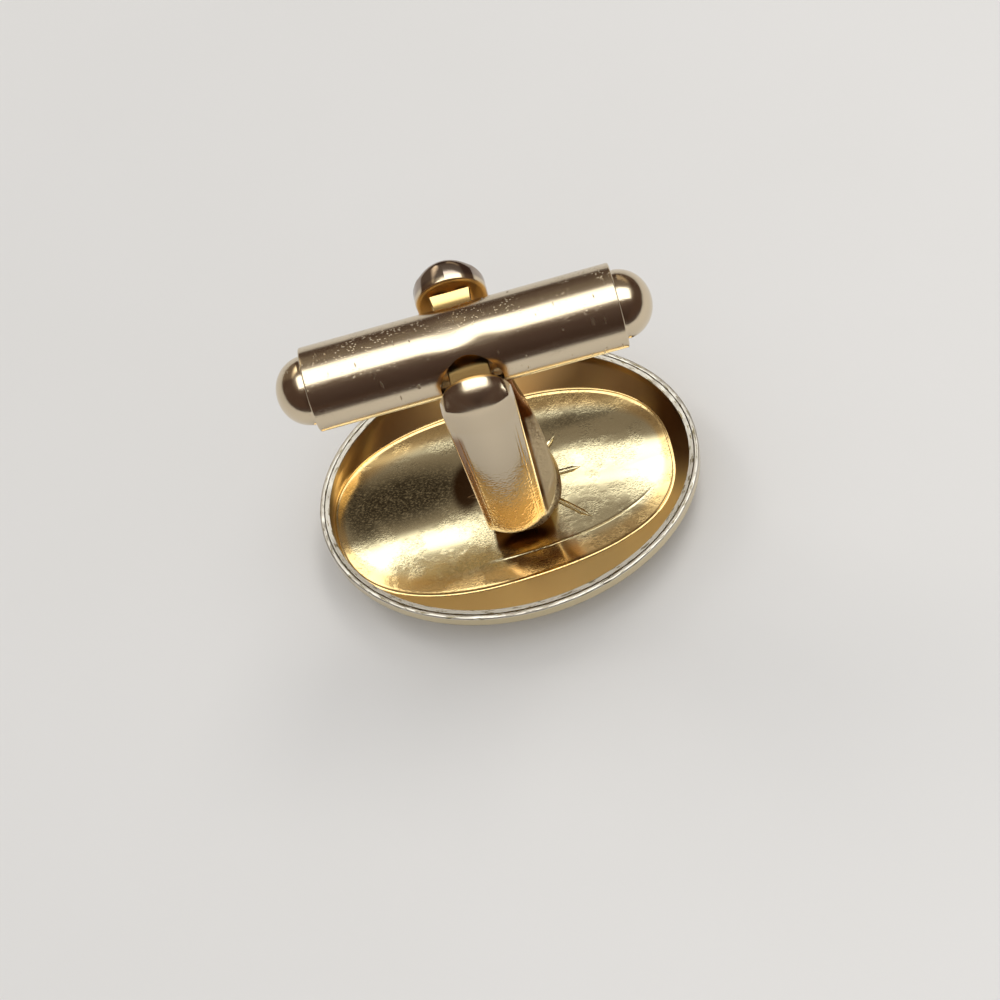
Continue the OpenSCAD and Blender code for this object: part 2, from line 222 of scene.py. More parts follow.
def relief(tree, *layers):
    """A normal from layers, each a height, a strength and a depth in millimetres that is below
    zero where the height goes inwards."""
    normal = None
    for height, strength, depth in layers:
        inputs = {"Height": height, "Strength": strength, "Distance": abs(depth) * MM}
        if normal:
            inputs["Normal"] = normal
        normal = node(tree, "ShaderNodeBump", inputs, invert=depth < 0)
    return normal


def pattern(tree, kind, per_mm, inputs=None, stretch=(1, 1, 1), turn=0.0, **settings):
    """A texture through the piece with per_mm steps a millimetre, stretched and turned about Z."""
    coords = node(tree, "ShaderNodeTexCoord")
    place = node(tree, "ShaderNodeMapping", {
        "Vector": coords.outputs["Object"], "Rotation": (0, 0, turn),
        "Scale": [per_mm / MM * share for share in stretch]})
    return node(tree, kind, {"Vector": place, "Scale": 1.0, **(inputs or {})}, **settings)


def region(tree, *limits):
    """A soft-edged mask of a part of the piece: each limit is an axis and, in millimetres, where
    the mask starts and where it is full."""
    coords = node(tree, "ShaderNodeTexCoord")
    place = node(tree, "ShaderNodeSeparateXYZ", {"Vector": coords.outputs["Object"]})
    return within(tree, *[(place.outputs[axis], start * MM, full * MM) for axis, start, full in limits])


def spot(tree, middle, size, turn=0.0, inner=0.4, outer=1.25):
    """A soft oval patch on the floor: 1 in its middle, 0 outside; sizes in millimetres."""
    coords = node(tree, "ShaderNodeTexCoord")
    c, s = math.cos(turn), math.sin(turn)
    laid = node(tree, "ShaderNodeMapping", {
        "Vector": coords.outputs["Object"], "Rotation": (0, 0, -turn), "Scale": (1 / MM, 1 / MM, 0),
        "Location": (-(c * middle[0] + s * middle[1]), s * middle[0] - c * middle[1], 0)})
    sized = node(tree, "ShaderNodeVectorMath", {
        0: laid, 1: (1 / size[0], 1 / size[1], 0)}, operation="MULTIPLY")
    return within(tree, (node(tree, "ShaderNodeVectorMath", {0: sized}, operation="LENGTH"), outer, inner))


def nicks(tree, along, across, start, full):
    """A mask of nicks that run round the rim: steps per millimetre along it and across it, and
    the noise where a nick starts and where it is full."""
    coords = node(tree, "ShaderNodeTexCoord")
    flat = node(tree, "ShaderNodeVectorMath", {
        0: coords.outputs["Object"], 1: (1 / HEAD_HIGH.x, 1 / HEAD_HIGH.y, 0)}, operation="MULTIPLY")
    parts = node(tree, "ShaderNodeSeparateXYZ", {"Vector": flat})
    angle = node(tree, "ShaderNodeMath", {
        0: parts.outputs["Y"], 1: parts.outputs["X"]}, operation="ARCTAN2")
    reach = node(tree, "ShaderNodeVectorMath", {0: flat}, operation="LENGTH")
    place = node(tree, "ShaderNodeCombineXYZ", {
        "X": times(tree, angle, along * HEAD_HIGH.x / MM),
        "Y": times(tree, reach, across * HEAD_HIGH.y / MM)})
    noise = node(tree, "ShaderNodeTexNoise", {
        "Vector": place, "Scale": 1.0, "Detail": 3.0, "Roughness": 0.6})
    return within(tree, (noise, start, full))


def new_material(name):
    """An empty node material with its shader and output joined."""
    material = bpy.data.materials.new(name)
    material.use_nodes = True
    tree = material.node_tree
    tree.nodes.clear()
    shader = node(tree, "ShaderNodeBsdfPrincipled")
    node(tree, "ShaderNodeOutputMaterial", {"Surface": shader})
    return material, tree, shader


# Materials, each named for its metal and how it was finished

# Where the pan's gilt is dull and tarnished, where the fork's shadow is painted on the floor, and where
# painted shade darkens the walls: middle, half sizes, turn and strength
DULL_SPOTS = (((-5.6, 1.15), (4.6, 1.8), 0.0, 0.97), ((4.6, 3.1), (3.4, 0.6), 0.05, 0.6),
              ((-7.8, 1.0), (1.3, 2.3), 0.0, 0.9), ((-1.8, -3.5), (4.8, 0.85), 0.12, 0.42))
FORK_SHADOWS = (((-2.2, 0.8), (0.9, 1.7), -0.2, 0.94), ((0.1, -3.0), (1.6, 0.6), 0.05, 0.94))
WALL_SHADES = (((9.3, 0.9), (1.9, 4.2), 0.0, 0.9), ((3.4, 5.6), (3.6, 1.7), 0.0, 0.72))


def champagne_plate(name, colour, rough, marks, lines):
    """Champagne-gold plate on drawn or turned brass: mirror-like with a soft skin, fine
    drawing lines, and pits and short marks, mostly on the side away from the viewer."""
    material, tree, shader = new_material(name)
    # Drawing lines about 0.03 mm apart are drawn coarser, at 0.1 mm on the tube, so that they show
    drawn = pattern(tree, "ShaderNodeTexNoise", 1.0, {"Detail": 3.0}, lines)
    # Pits about 0.05 mm across and a little longer along the bar, in loose groups
    cells = pattern(tree, "ShaderNodeTexVoronoi", 9.0, stretch=(0.6, 1.0, 1.0))
    groups = pattern(tree, "ShaderNodeTexNoise", 0.55, {"Detail": 2.0})
    away = summed(tree, 0.12, (region(tree, ("Y", -0.2, 0.7)), 0.88))
    pits = times(tree, within(tree, (cells, 0.3, 0.1), (groups, 0.4, 0.58)), away)
    # Short marks, 0.06 mm wide and half a millimetre long, on a slant
    dashes = pattern(tree, "ShaderNodeTexNoise", 1.0, {"Detail": 1.0}, (6.0, 1.6, 1.6), 0.6)
    worst = node(tree, "ShaderNodeMath", {
        0: pits, 1: within(tree, (dashes, 0.73, 0.78))}, operation="MAXIMUM")
    mark = times(tree, worst, min(1.0, marks * 3))
    gloss = node(tree, "ShaderNodeMapRange", {
        "Value": drawn, "From Min": 0.3, "From Max": 0.7, "To Min": rough * 0.85, "To Max": rough * 1.2})
    feed(tree, shader, {
        "Base Color": painted(tree, colour, (mark, "#B3A388")), "Metallic": 1.0,
        "Roughness": summed(tree, gloss, (mark, 0.22)),
        "Normal": relief(tree, (drawn, 0.12, 0.012), (mark, marks, -0.04))})
    return material


def bent_strap_plate(name, colour, gold, braze):
    """Champagne-gold plate on bent brass strap: polished over the ears, finely beaded low down where
    the polishing wheel did not reach, with a painted reflection of the gilt pan that makes the low
    part yellower, painted shade that makes the far ear's top greyer and darker, the inside of the
    fork brown deep down and lighter gold by the pin, and the far arm's right side brown, a darker
    brown along the near arm's left edge, and a rough brazed skin on the lug."""
    material, tree, shader = new_material(name)
    low = region(tree, ("Z", 12.0, 6.5))
    # Painted reflection of the gilt pan: the fork is painted a yellower gold low down
    lower = region(tree, ("Z", 8.5, 6.0))
    lug = region(tree, ("X", 1.56, 1.7), ("Z", 3.9, 3.6))
    # Painted shade inside the fork: brown deep between the arms, lighter gold up by the pin
    inside = region(tree, ("Y", 2.78, 2.66), ("Y", -2.78, -2.66))
    lit_by_the_pin = region(tree, ("Z", 13.6, 14.4))
    # Painted shade on the right side of the far arm
    shaded_right_side = region(tree, ("X", 1.32, 1.46), ("Y", 1.0, 1.5), ("Z", 3.6, 3.9), ("Z", 16.5, 13.5))
    left_edge = region(tree, ("X", -1.1, -1.3), ("Y", 0, -1), ("Z", 4.5, 5.5), ("Z", 14.5, 13.5))
    # Painted shade on the far ear's top: a darker, greyer tone
    shaded_far_ear = region(tree, ("Z", 14.3, 14.8), ("Y", 2.85, 3.05))
    near_ear = region(tree, ("Z", 14.3, 14.8), ("Y", -2.85, -3.05))
    # Beads of about 0.14 mm left by the plating over a coarse surface
    beads = pattern(tree, "ShaderNodeTexVoronoi", 7.0, feature="SMOOTH_F1")
    waves = pattern(tree, "ShaderNodeTexNoise", 2.2, {"Detail": 3.0})
    tone = painted(
        tree, colour, (times(tree, lower, 0.75), gold),
        (inside, painted(tree, "#8E6A42", (lit_by_the_pin, "#DDAE66"))), (shaded_right_side, "#7E4A22"),
        (lug, braze), (shaded_far_ear, "#A89A8E"), (times(tree, left_edge, 0.8), "#8A5A30"))
    depth = summed(tree, 0.02, (lug, 0.38), (low, 0.6))
    feed(tree, shader, {
        "Base Color": tone, "Metallic": 1.0,
        "Roughness": summed(tree, 0.1, (inside, 0.3), (near_ear, 0.13), (lug, 0.34), (low, 0.07)),
        "Normal": relief(tree, (beads, depth, 0.035), (waves, 0.12, 0.04))})
    return material


def stamped_gilt(name, colour, worn_colour, tarnish, edge_colour):
    """Gilt on stamped brass sheet: bright on the ledge, matt on the wall, worn paler and finely
    speckled on the floor, with dull tarnished patches and a bare, nicked edge; painted light makes
    the near wall a brighter gold, painted shade darkens the right end wall and the far wall, and
    the fork's shadow is painted on the floor."""
    material, tree, shader = new_material(name)
    zone = node(tree, "ShaderNodeAttribute", attribute_name="zone").outputs["Fac"]
    field, floor, edge = (within(tree, (zone, start, full))
                          for start, full in ((1.0, 0.4), (1.5, 1.1), (2.6, 2.9)))
    upright = node(tree, "ShaderNodeMapRange", {"Value": zone, "From Min": 1.3, "From Max": 1.9})
    # Pits and grains of 0.06 to 0.15 mm, from the strip that the pan was stamped from
    grain = pattern(tree, "ShaderNodeTexNoise", 10.0, {"Detail": 4.0, "Roughness": 0.65},
                    (0.75, 1.3, 1.0), 0.5)
    patches = pattern(tree, "ShaderNodeTexNoise", 0.75, {"Detail": 3.0})
    patch = within(tree, (patches, 0.42, 0.6))
    dull = 0.0
    for middle, size, turn, strength in DULL_SPOTS:
        dull = node(tree, "ShaderNodeMath", {
            0: dull, 1: times(tree, spot(tree, middle, size, turn), strength)}, operation="MAXIMUM")
    uneven = node(tree, "ShaderNodeMapRange", {
        "Value": grain, "From Min": 0.66, "From Max": 0.46, "To Min": 0.35})
    dark = node(tree, "ShaderNodeMath", {
        0: times(tree, dull, uneven, floor),
        1: times(tree, within(tree, (grain, 0.5, 0.38)), patch, floor, 0.5)}, operation="MAXIMUM")
    coords = node(tree, "ShaderNodeTexCoord")
    place = node(tree, "ShaderNodeSeparateXYZ", {"Vector": coords.outputs["Object"]})
    near = node(tree, "ShaderNodeMapRange", {
        "Value": place.outputs["Y"], "From Min": 0.5 * MM, "From Max": -2.0 * MM})
    coats = [(field, worn_colour), (dark, tarnish)]
    # Painted shadow of the fork on the floor, beside it and under the near bend
    for middle, size, turn, strength in FORK_SHADOWS:
        coats.append((times(tree, spot(tree, middle, size, turn, 0.6, 1.1), floor, strength), "#4A2E14"))
    # Painted light: the near wall is painted a brighter, paler gold
    coats.append((times(tree, near, upright), "#F8DC9C"))
    # Painted shade darkening the right end wall and the far wall
    for middle, size, turn, strength in WALL_SHADES:
        coats.append((times(tree, spot(tree, middle, size, turn), upright, strength), "#5A3618"))
    # Nicks of the burnishing tool along the edge, about 0.6 mm long
    coats += [(edge, edge_colour), (times(tree, nicks(tree, 1.4, 9.0, 0.55, 0.63), edge), "#9A8E72")]
    # Polishing scratches, 0.05 mm wide, down the slope of the far right of the floor
    hair = pattern(tree, "ShaderNodeTexNoise", 1.0, {"Detail": 2.0}, (9.0, 0.7, 0.7), 0.3)
    scratched = times(tree, hair, spot(tree, (4.0, 2.9), (3.0, 1.6), 0.1))
    matt = times(tree, upright, summed(tree, 0.18, (near, 0.34)))
    feed(tree, shader, {
        "Base Color": painted(tree, colour, *coats), "Metallic": 1.0,
        "Roughness": summed(tree, 0.12, (matt, 1.0), (dark, 0.05), (edge, 0.14)),
        "Normal": relief(tree, (times(tree, grain, patch, floor), 0.3, 0.02), (scratched, 0.5, 0.02))})
    return material


def burnished_gilt(name, colour, worn):
    """Pale gilt on a pressed brass cover: polished on its face and band, and rubbed and
    nicked down to base metal along the edge that is burnished over the pan."""
    material, tree, shader = new_material(name)
    top = region(tree, ("Z", 2.36, 2.46))
    # Nicks of the burnishing tool, about 0.6 mm long
    nick = times(tree, nicks(tree, 1.2, 10.0, 0.55, 0.62), top)
    fine = pattern(tree, "ShaderNodeTexNoise", 9.0, {"Detail": 2.0})
    feed(tree, shader, {
        "Base Color": painted(tree, colour, (top, worn), (nick, "#A39A80")), "Metallic": 1.0,
        "Roughness": summed(tree, 0.12, (top, 0.22)),
        "Normal": relief(tree, (nick, 0.35, -0.04), (fine, 0.05, 0.01))})
    return material


def silver_braze(name, colour):
    """Pale brazing alloy, plated over: a lumpy, beaded skin that was never polished."""
    material, tree, shader = new_material(name)
    # Beads of about 0.18 mm left by the flux
    bead = pattern(tree, "ShaderNodeTexVoronoi", 5.5, feature="SMOOTH_F1")
    waves = pattern(tree, "ShaderNodeTexNoise", 1.8, {"Detail": 3.0})
    feed(tree, shader, {
        "Base Color": painted(tree, colour, (waves, "#CDB887")), "Metallic": 1.0,
        "Roughness": summed(tree, 0.24, (bead, 0.16)),
        "Normal": relief(tree, (bead, 0.3, 0.04), (waves, 0.3, 0.08))})
    return material


def turned_steel(name, colour, lines):
    """Bright drawn or turned steel: fine lines about the axis and a grey, oily sheen."""
    material, tree, shader = new_material(name)
    turned = pattern(tree, "ShaderNodeTexNoise", 1.0, {"Detail": 2.0}, lines)
    feed(tree, shader, {
        "Base Color": painted(tree, colour, (turned, "#A2A4A8")), "Metallic": 1.0,
        "Roughness": summed(tree, 0.18, (turned, 0.18)),
        "Normal": relief(tree, (turned, 0.3, 0.015))})
    return material


def matt_paper(name, colour):
    """Smooth uncoated card: matt, nearly flat, with a faint cloudiness. Where the bench
    ends towards the viewer, polished metal mirrors the dark room instead of the card."""
    material, tree, shader = new_material(name)
    cloud = pattern(tree, "ShaderNodeTexNoise", 0.05, {"Detail": 4.0})
    fibre = pattern(tree, "ShaderNodeTexNoise", 2.0, {"Detail": 2.0})
    # Painted light: the sheet is painted a trace darker towards the far left and paler towards the near
    # right, as the light falls across it
    coords = node(tree, "ShaderNodeTexCoord")
    where = node(tree, "ShaderNodeVectorMath", {
        0: coords.outputs["Object"], 1: (0.547, -0.837, 0)}, operation="DOT_PRODUCT")
    paler = node(tree, "ShaderNodeMapRange", {
        "Value": where, "From Min": -36 * MM, "From Max": 36 * MM, "To Min": 0.92, "To Max": 1.09})
    tone = node(tree, "ShaderNodeVectorMath", {
        0: painted(tree, colour, (cloud, "#E0DEDA")), 1: paler}, operation="MULTIPLY")
    feed(tree, shader, {"Base Color": tone, "Roughness": 0.9, "Specular IOR Level": 0.15,
                        "Normal": relief(tree, (fibre, 0.06, 0.05))})
    path = node(tree, "ShaderNodeLightPath")
    mirrored = times(tree, path.outputs["Is Glossy Ray"], region(tree, ("Y", -50, -62)))
    room = node(tree, "ShaderNodeEmission", {"Color": ROOM_DARK, "Strength": 1.0})
    either = node(tree, "ShaderNodeMixShader", {"Fac": mirrored, 1: shader, 2: room})
    feed(tree, tree.nodes["Material Output"], {"Surface": either})
    return material


# Mesh helpers: all work in millimetres and give one closed mesh in metres

def make_object(name, points, faces, zones=None):
    """A mesh object at the origin, its normals outwards, smooth but for its sharp edges."""
    mesh = bpy.data.meshes.new(name)
    mesh.from_pydata([tuple(p) for p in np.asarray(points, float) * MM], [], faces)
    if zones is not None:
        layer = mesh.attributes.new("zone", "FLOAT", "POINT")
        layer.data.foreach_set("value", np.asarray(zones, np.float32))
    piece = bpy.data.objects.new(name, mesh)
    bpy.context.scene.collection.objects.link(piece)
    tidy_mesh(piece)
    return piece


def tidy_mesh(piece, sharp=math.radians(38)):
    """Merges doubles, turns the faces outwards and shades smooth up to a sharp angle."""
    shape = bmesh.new()
    shape.from_mesh(piece.data)
    bmesh.ops.remove_doubles(shape, verts=shape.verts, dist=0.0008 * MM)
    bmesh.ops.dissolve_degenerate(shape, edges=shape.edges, dist=0.0005 * MM)
    bmesh.ops.recalc_face_normals(shape, faces=shape.faces)
    if shape.calc_volume(signed=True) < 0:
        bmesh.ops.reverse_faces(shape, faces=shape.faces)
    for face in shape.faces:
        face.smooth = True
    for edge in shape.edges:
        edge.smooth = len(edge.link_faces) == 2 and edge.calc_face_angle(0.0) < sharp
    shape.to_mesh(piece.data)
    shape.free()


def grid_faces(rows, columns):
    """Quads of a grid of points, closed round its columns."""
    faces = []
    for i in range(0, (rows - 1) * columns, columns):
        for j in range(columns):
            k = (j + 1) % columns
            faces.append((i + j, i + k, i + columns + k, i + columns + j))
    return faces


def loft(name, rings, start=None, stop=None, zones=None):
    """A closed skin through rings of equal length, with a pole at each end."""
    rings = np.asarray(rings, float)
    rows, columns = rings.shape[:2]
    faces = grid_faces(rows, columns)
    points = list(rings.reshape(-1, 3))
    points.append(rings[0].mean(0) if start is None else start)
    points.append(rings[-1].mean(0) if stop is None else stop)
    low, high = rows * columns, rows * columns + 1
    last = (rows - 1) * columns
    for j in range(columns):
        k = (j + 1) % columns
        faces.append((low, k, j))
        faces.append((high, last + j, last + k))
    if zones is not None:
        zones = list(np.repeat(zones, columns)) + [zones[0], zones[-1]]
    return make_object(name, points, faces, zones)


def smooth_keys(keys, steps):
    """A smooth run through key rows, by cubic curves on their chord lengths."""
    keys = np.asarray(keys, float)
    spans = np.maximum(np.linalg.norm(np.diff(keys[:, :4], axis=0), axis=1), 1e-6)
    place = np.concatenate([[0], np.cumsum(spans)])
    slopes = np.gradient(keys, place, axis=0)
    rows = []
    for i in range(len(keys) - 1):
        for t in np.linspace(0, 1, steps, endpoint=False):
            h = spans[i]
            rows.append((2 * t**3 - 3 * t**2 + 1) * keys[i] + (t**3 - 2 * t**2 + t) * h * slopes[i]
                        + (3 * t**2 - 2 * t**3) * keys[i + 1] + (t**3 - t**2) * h * slopes[i + 1])
    rows.append(keys[-1])
    return np.array(rows)


def angles(count):
    """Even angles round a ring."""
    return 2 * math.pi * np.arange(count) / count


def soft_step(value, start, stop):
    """A smooth rise from 0 at start to 1 at stop."""
    share = np.clip((value - start) / (stop - start), 0, 1)
    return share * share * (3 - 2 * share)


def oval(row, count):
    """A ring from half length, half width, end height, extra side height, squareness, shift."""
    half_l, half_w, z_end, z_side, power, shift = row
    c, s = np.cos(angles(count)), np.sin(angles(count))
    r = (np.abs(c) ** power + np.abs(s) ** power) ** (-1 / power)
    return np.stack([half_l * c * r + shift, half_w * s * r, z_end + z_side * (s * r) ** 2], 1)


def bumps(seed, x, y, z, size, count=5):
    """A smooth wavy field from a few fixed sine waves, about 1 at its highest."""
    draw = np.random.default_rng(seed)
    total = np.zeros(np.shape(x))
    for _ in range(count):
        way = draw.normal(size=3)
        way /= np.linalg.norm(way)
        total = total + np.sin((x * way[0] + y * way[1] + z * way[2]) * 2 * math.pi
                               / (size * draw.uniform(0.7, 1.5)) + draw.uniform(0, 6.28))
    return total / count


def dress(piece, material, body, slot, *nodes):
    """Gives a finished piece its material and body, and hides the CAD nodes that it stands for; the slot is
    not used.
    """
    piece.data.materials.clear()
    piece.data.materials.append(material)
    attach(piece, body)
    if nodes:
        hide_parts(*nodes)
    return piece


def evaluated(piece):
    """A new mesh of a piece as its modifiers leave it."""
    bpy.context.view_layer.update()
    graph = bpy.context.evaluated_depsgraph_get()
    return bpy.data.meshes.new_from_object(piece.evaluated_get(graph), depsgraph=graph)


def settings():
    """The sizes and colours that the panel shows."""
    return bpy.context.scene.cufflink


def in_mm(group):
    """A property group's lengths in millimetres, by name."""
    values = {}
    for prop in group.bl_rna.properties:
        if prop.type == "FLOAT" and prop.unit == "LENGTH":
            values[prop.identifier] = getattr(group, prop.identifier) / MM
    return values


# The head

# Points round each ring of the head, and the height of the pan's upright lip
OVAL_POINTS, LIP_DROP = 288, 0.42
# The face's curve from its middle to its band: shares of the half length, half width and height
FACE_SHARES = [(0.35, 0.28, 0.0), (0.66, 0.52, 0.004), (0.85, 0.75, 0.1), (0.955, 0.885, 0.3),
               (0.985, 0.95, 0.6), (1.0, 1.0, 1.0)]

# Tilt of the floor towards the viewer in degrees, by distance across in millimetres, left and
# right of the fork, as the light mirrored in the floor shows it
TILT_LEFT = [(-8, 7.0), (-5, 6.6), (-3, 5.6), (-2.2, 5.0), (-1.5, 3.4), (-1, 0.6), (-0.5, -2.8), (0.5, -4.8),
             (2, -5.6), (2.8, -5.0), (3.2, -2.0), (3.5, 0.8), (3.9, 1.4), (4.3, 0.0), (4.8, -2.0), (8, -2)]
TILT_RIGHT = [(-8, -1), (-5, -1), (-4, -1.2), (-3, -1.6), (-2.4, -1.8), (-1.9, -0.8), (-1.4, 0.6),
              (-1.1, 0.8), (-0.8, 2.0), (-0.55, 3.0), (-0.3, 2.8), (-0.05, 2.4), (0.2, 2.8), (0.5, 3.4),
              (0.9, 3.6), (1.2, 2.8), (1.5, 0.8), (1.9, -1.8), (2.3, -3.6), (2.8, -4.6), (3.2, -3.0),
              (3.5, 0.8), (3.9, 2.0), (4.3, 0.0), (4.8, -1.0), (8, -1)]
# The crown radius that these tilts belong to
REFERENCE_CROWN = 20.5

# The crease's little ridge: share of the way to the wall's foot, and share of its height
CREASE_HEIGHT = 0.012
CREASE_SHARES = ((0.015, 0.4), (0.03, 1), (0.045, 1), (0.065, 0.4), (0.09, 0))
# The bead at the wall's foot: step outwards from it, lift and zone
BEAD = ((-0.075, 0.003, 1.0), (-0.055, 0.01, 1.0), (-0.03, 0.02, 1.0), (0, 0.024, 1.0),
        (0.025, 0.02, 1.0), (0.05, 0.01, 1.1))
# How far the ledge ends short of the wall's foot, and where beyond and above it the flank starts
LEDGE_END, FLANK_STEP, FLANK_LIFT = 0.14, 0.1, 0.014
# Where the crease's ridge shows, in degrees round the pan: from, in full, until, gone
CREASE_SEEN = (258, 268, 318, 330)
# How far the upright lip leans in at its foot, along and across the bar
LIP_LEAN = (0.05, 0.16)
# Where the floor's left crown passes into its right one along the bar, where the near right end
# turns up, and by how much for each millimetre across
CROWNS_MEET, END_RISES, END_SLOPE = (-3, 4), (5.2, 7.4), 0.04
# The upright lip: share of its height, and zone
LIP_SHARES = ((0.45, 2.1), (0.6, 2.3), (0.75, 2.6), (0.88, 3.0), (1, 3.0))
# Rings across the field, the ledge, the flank and the bend above it
FIELD_RINGS, LEDGE_RINGS, FLANK_RINGS, BEND_RINGS = 60, 12, 18, 6


def crown_heights(table, crown):
    """Heights across the floor, summed up from its tilt."""
    across = np.linspace(-8, 8, 1601)
    tilt = np.interp(across, *np.array(table, float).T)
    blur = 15
    tilt = np.convolve(np.pad(tilt, blur, mode="edge"), np.full(2 * blur + 1, 1 / (2 * blur + 1)), "valid")
    heights = np.cumsum(np.tan(np.radians(tilt))) * (across[1] - across[0]) * REFERENCE_CROWN / crown
    return across, heights - np.interp(0, across, heights)


def floor_height(x, y, head):
    """The dished floor: one crown left of the fork passes into another right of it."""
    across, left = crown_heights(TILT_LEFT, head["crown"])
    right = crown_heights(TILT_RIGHT, head["crown"])[1]
    x, y = np.asarray(x, float), np.asarray(y, float)
    share = soft_step(x, *CROWNS_MEET)
    # The right crown runs at a slant beyond the fork
    slant = 0.17 * np.clip(x - 3, 0, 5)
    return (head["floor_height"] + (1 - share) * np.interp(y, across, left)
            + share * np.interp(y + slant, across, right)
            + END_SLOPE * soft_step(x, *END_RISES) * np.minimum(y + 0.5, 0))


def bend(first, corner, last, steps):
    """Rings that round a corner between two others."""
    return [(1 - s) ** 2 * first + 2 * s * (1 - s) * corner + s * s * last for s in np.linspace(0, 1, steps)]


def pan_surface(head):
    """The pan's upper side as rings from its middle out to its rim, and each ring's zone:
    0 field, 1 ledge, 2 wall, 3 edge."""
    n = OVAL_POINTS
    shift = -head["dish_shift"]
    field = (head["field_length"] / 2, head["field_width"] / 2)
    dish = (head["dish_length"] / 2, head["dish_width"] / 2)
    rim_t = head["cover_sheet"] + head["seam"] + head["pan_sheet"]
    rim = (head["length"] / 2 - rim_t, head["width"] / 2 - rim_t)
    turn = 360 * np.arange(n) / n

    def on_floor(ring, lift=0.0):
        heights = floor_height(ring[:, 0], ring[:, 1], head) + lift
        return np.column_stack([ring[:, :2], heights])

    rings = [on_floor(oval((field[0] * s, field[1] * s, 0, 0, 2 + 0.3 * s, shift * s), n))
             for s in np.linspace(0.02, 1, FIELD_RINGS)]
    zones = [0.0] * FIELD_RINGS
    crease = rings[-1]
    foot = on_floor(oval((dish[0], dish[1], 0, 0, 2.5, shift), n))
    # The crease is a sharp little ridge that shows only to the near right
    seen = np.interp(turn, CREASE_SEEN, (0, 1, 1, 0))
    for share, lift in CREASE_SHARES:
        rings.append(on_floor(crease + (foot - crease) * share, CREASE_HEIGHT * lift * seen))
        zones.append(0.3 + share)
    outward = foot - crease
    outward[:, 2] = 0
    outward /= np.linalg.norm(outward, axis=1, keepdims=True)
    for share in np.linspace(0.15, 1, LEDGE_RINGS):
        rings.append(on_floor(crease + (foot - LEDGE_END * outward - crease) * share))
        zones.append(min(1.0, 0.35 + share))
    # A fine bead runs round the foot of the wall
    for step, lift, zone in BEAD:
        rings.append(foot + step * outward + (0, 0, lift))
        zones.append(zone)
    start = foot + FLANK_STEP * outward + (0, 0, FLANK_LIFT)
    lip = oval((rim[0] - LIP_LEAN[0], rim[1] - LIP_LEAN[1], head["height"] - LIP_DROP, 0, 2, 0), n)
    top = oval((rim[0], rim[1], head["height"], 0, 2, 0), n)
    # A straight flank, and a bend into the upright lip
    rings += [start + (lip - start) * share for share in np.linspace(0, 0.9, FLANK_RINGS)]
    rings += bend(start + (lip - start) * 0.94, lip, lip + (top - lip) * 0.3, BEND_RINGS)
    zones += [1.5] + [2.0] * (FLANK_RINGS - 1 + BEND_RINGS)
    for share, zone in LIP_SHARES:
        rings.append(lip + (top - lip) * share)
        zones.append(zone)
    grid = np.array(rings)
    x, y, z = grid[..., 0], grid[..., 1], grid[..., 2]
    fade = np.clip((head["height"] - z) / 0.5, 0, 1)
    grid[..., 2] += 0.006 * bumps(3, x, y, z * 0, 3.2) * fade
    return grid, zones


def surface_normals(grid):
    """Unit normals of a grid of rings, by differences along and across them."""
    along = np.gradient(grid, axis=0)
    across = (np.roll(grid, -1, axis=1) - np.roll(grid, 1, axis=1)) / 2
    normals = np.cross(across, along)
    normals /= np.maximum(np.linalg.norm(normals, axis=2, keepdims=True), 1e-12)
    return normals * np.sign(normals[0, 0, 2] or 1)


# Radii of the burnished edge, outside and inside
OUTER_EDGE, INNER_EDGE = 0.1, 0.05


class CUFFLINK_OT_face_cover(bpy.types.Operator):
    """Builds the pressed face cover, whose band is burnished round the pan"""
    bl_idname = "cufflink.face_cover"
    bl_label = "Face Cover"

    def execute(self, context):
        head = in_mm(settings().head)
        a, b, high = head["length"] / 2, head["width"] / 2, head["height"]
        body = high - head["band"]
        sheet = head["cover_sheet"]
        outer = [(fa * a, fb * b, fz * body, 0, 2, 0) for fa, fb, fz in FACE_SHARES]
        rows = list(smooth_keys([(0.02, 0.015, 0, 0, 2, 0)] + outer, 10))
        for share in (0.2, 0.4, 0.6, 0.8, 0.9):
            rows.append((a, b, body + (head["band"] - OUTER_EDGE) * share, 0, 2, 0))
        for turn in np.radians(np.linspace(0, 90, 7)):
            inset = OUTER_EDGE * (1 - math.cos(turn))
            rows.append((a - inset, b - inset, high - OUTER_EDGE * (1 - math.sin(turn)), 0, 2, 0))
        for turn in np.radians(np.linspace(0, 90, 5)):
            inset = sheet - INNER_EDGE * (1 - math.sin(turn))
            rows.append((a - inset, b - inset, high - INNER_EDGE * (1 - math.cos(turn)), 0, 2, 0))
        inner = [(a - sheet, b - sheet, body, 0, 2, 0)]
        for fa, fb, fz in reversed(FACE_SHARES[:-1]):
            lean = 1 - fz
            inner.append((fa * a - sheet * (1 - lean**2) ** 0.5, fb * b - sheet * (1 - lean**2) ** 0.5,
                          fz * body + sheet * lean, 0, 2, 0))
        inner.append((0.02, 0.015, sheet, 0, 2, 0))
        rows += list(smooth_keys(inner, 5))
        grid = np.array([oval(row, OVAL_POINTS) for row in rows])
        grid[..., 2] = np.maximum(grid[..., 2], 0)
        # The burnished edge wanders a little where the tool pressed it
        rim = np.clip((grid[..., 2] - (high - 0.06)) / 0.06, 0, 1)
        waves = bumps(11, grid[..., 0], grid[..., 1], grid[..., 2] * 0, 0.7, 7)
        grid[..., 2] -= rim * 0.03 * np.clip(waves * 1.6, 0, 1)
        piece = loft("face_cover_visual", grid, (0, 0, 0), (0, 0, sheet))
        finish = settings().finish
        dress(piece, burnished_gilt("burnished_pale_gilt", finish.pale_gilt, finish.worn),
              "head", "face_gilt", "face_cover")
        return {"FINISHED"}


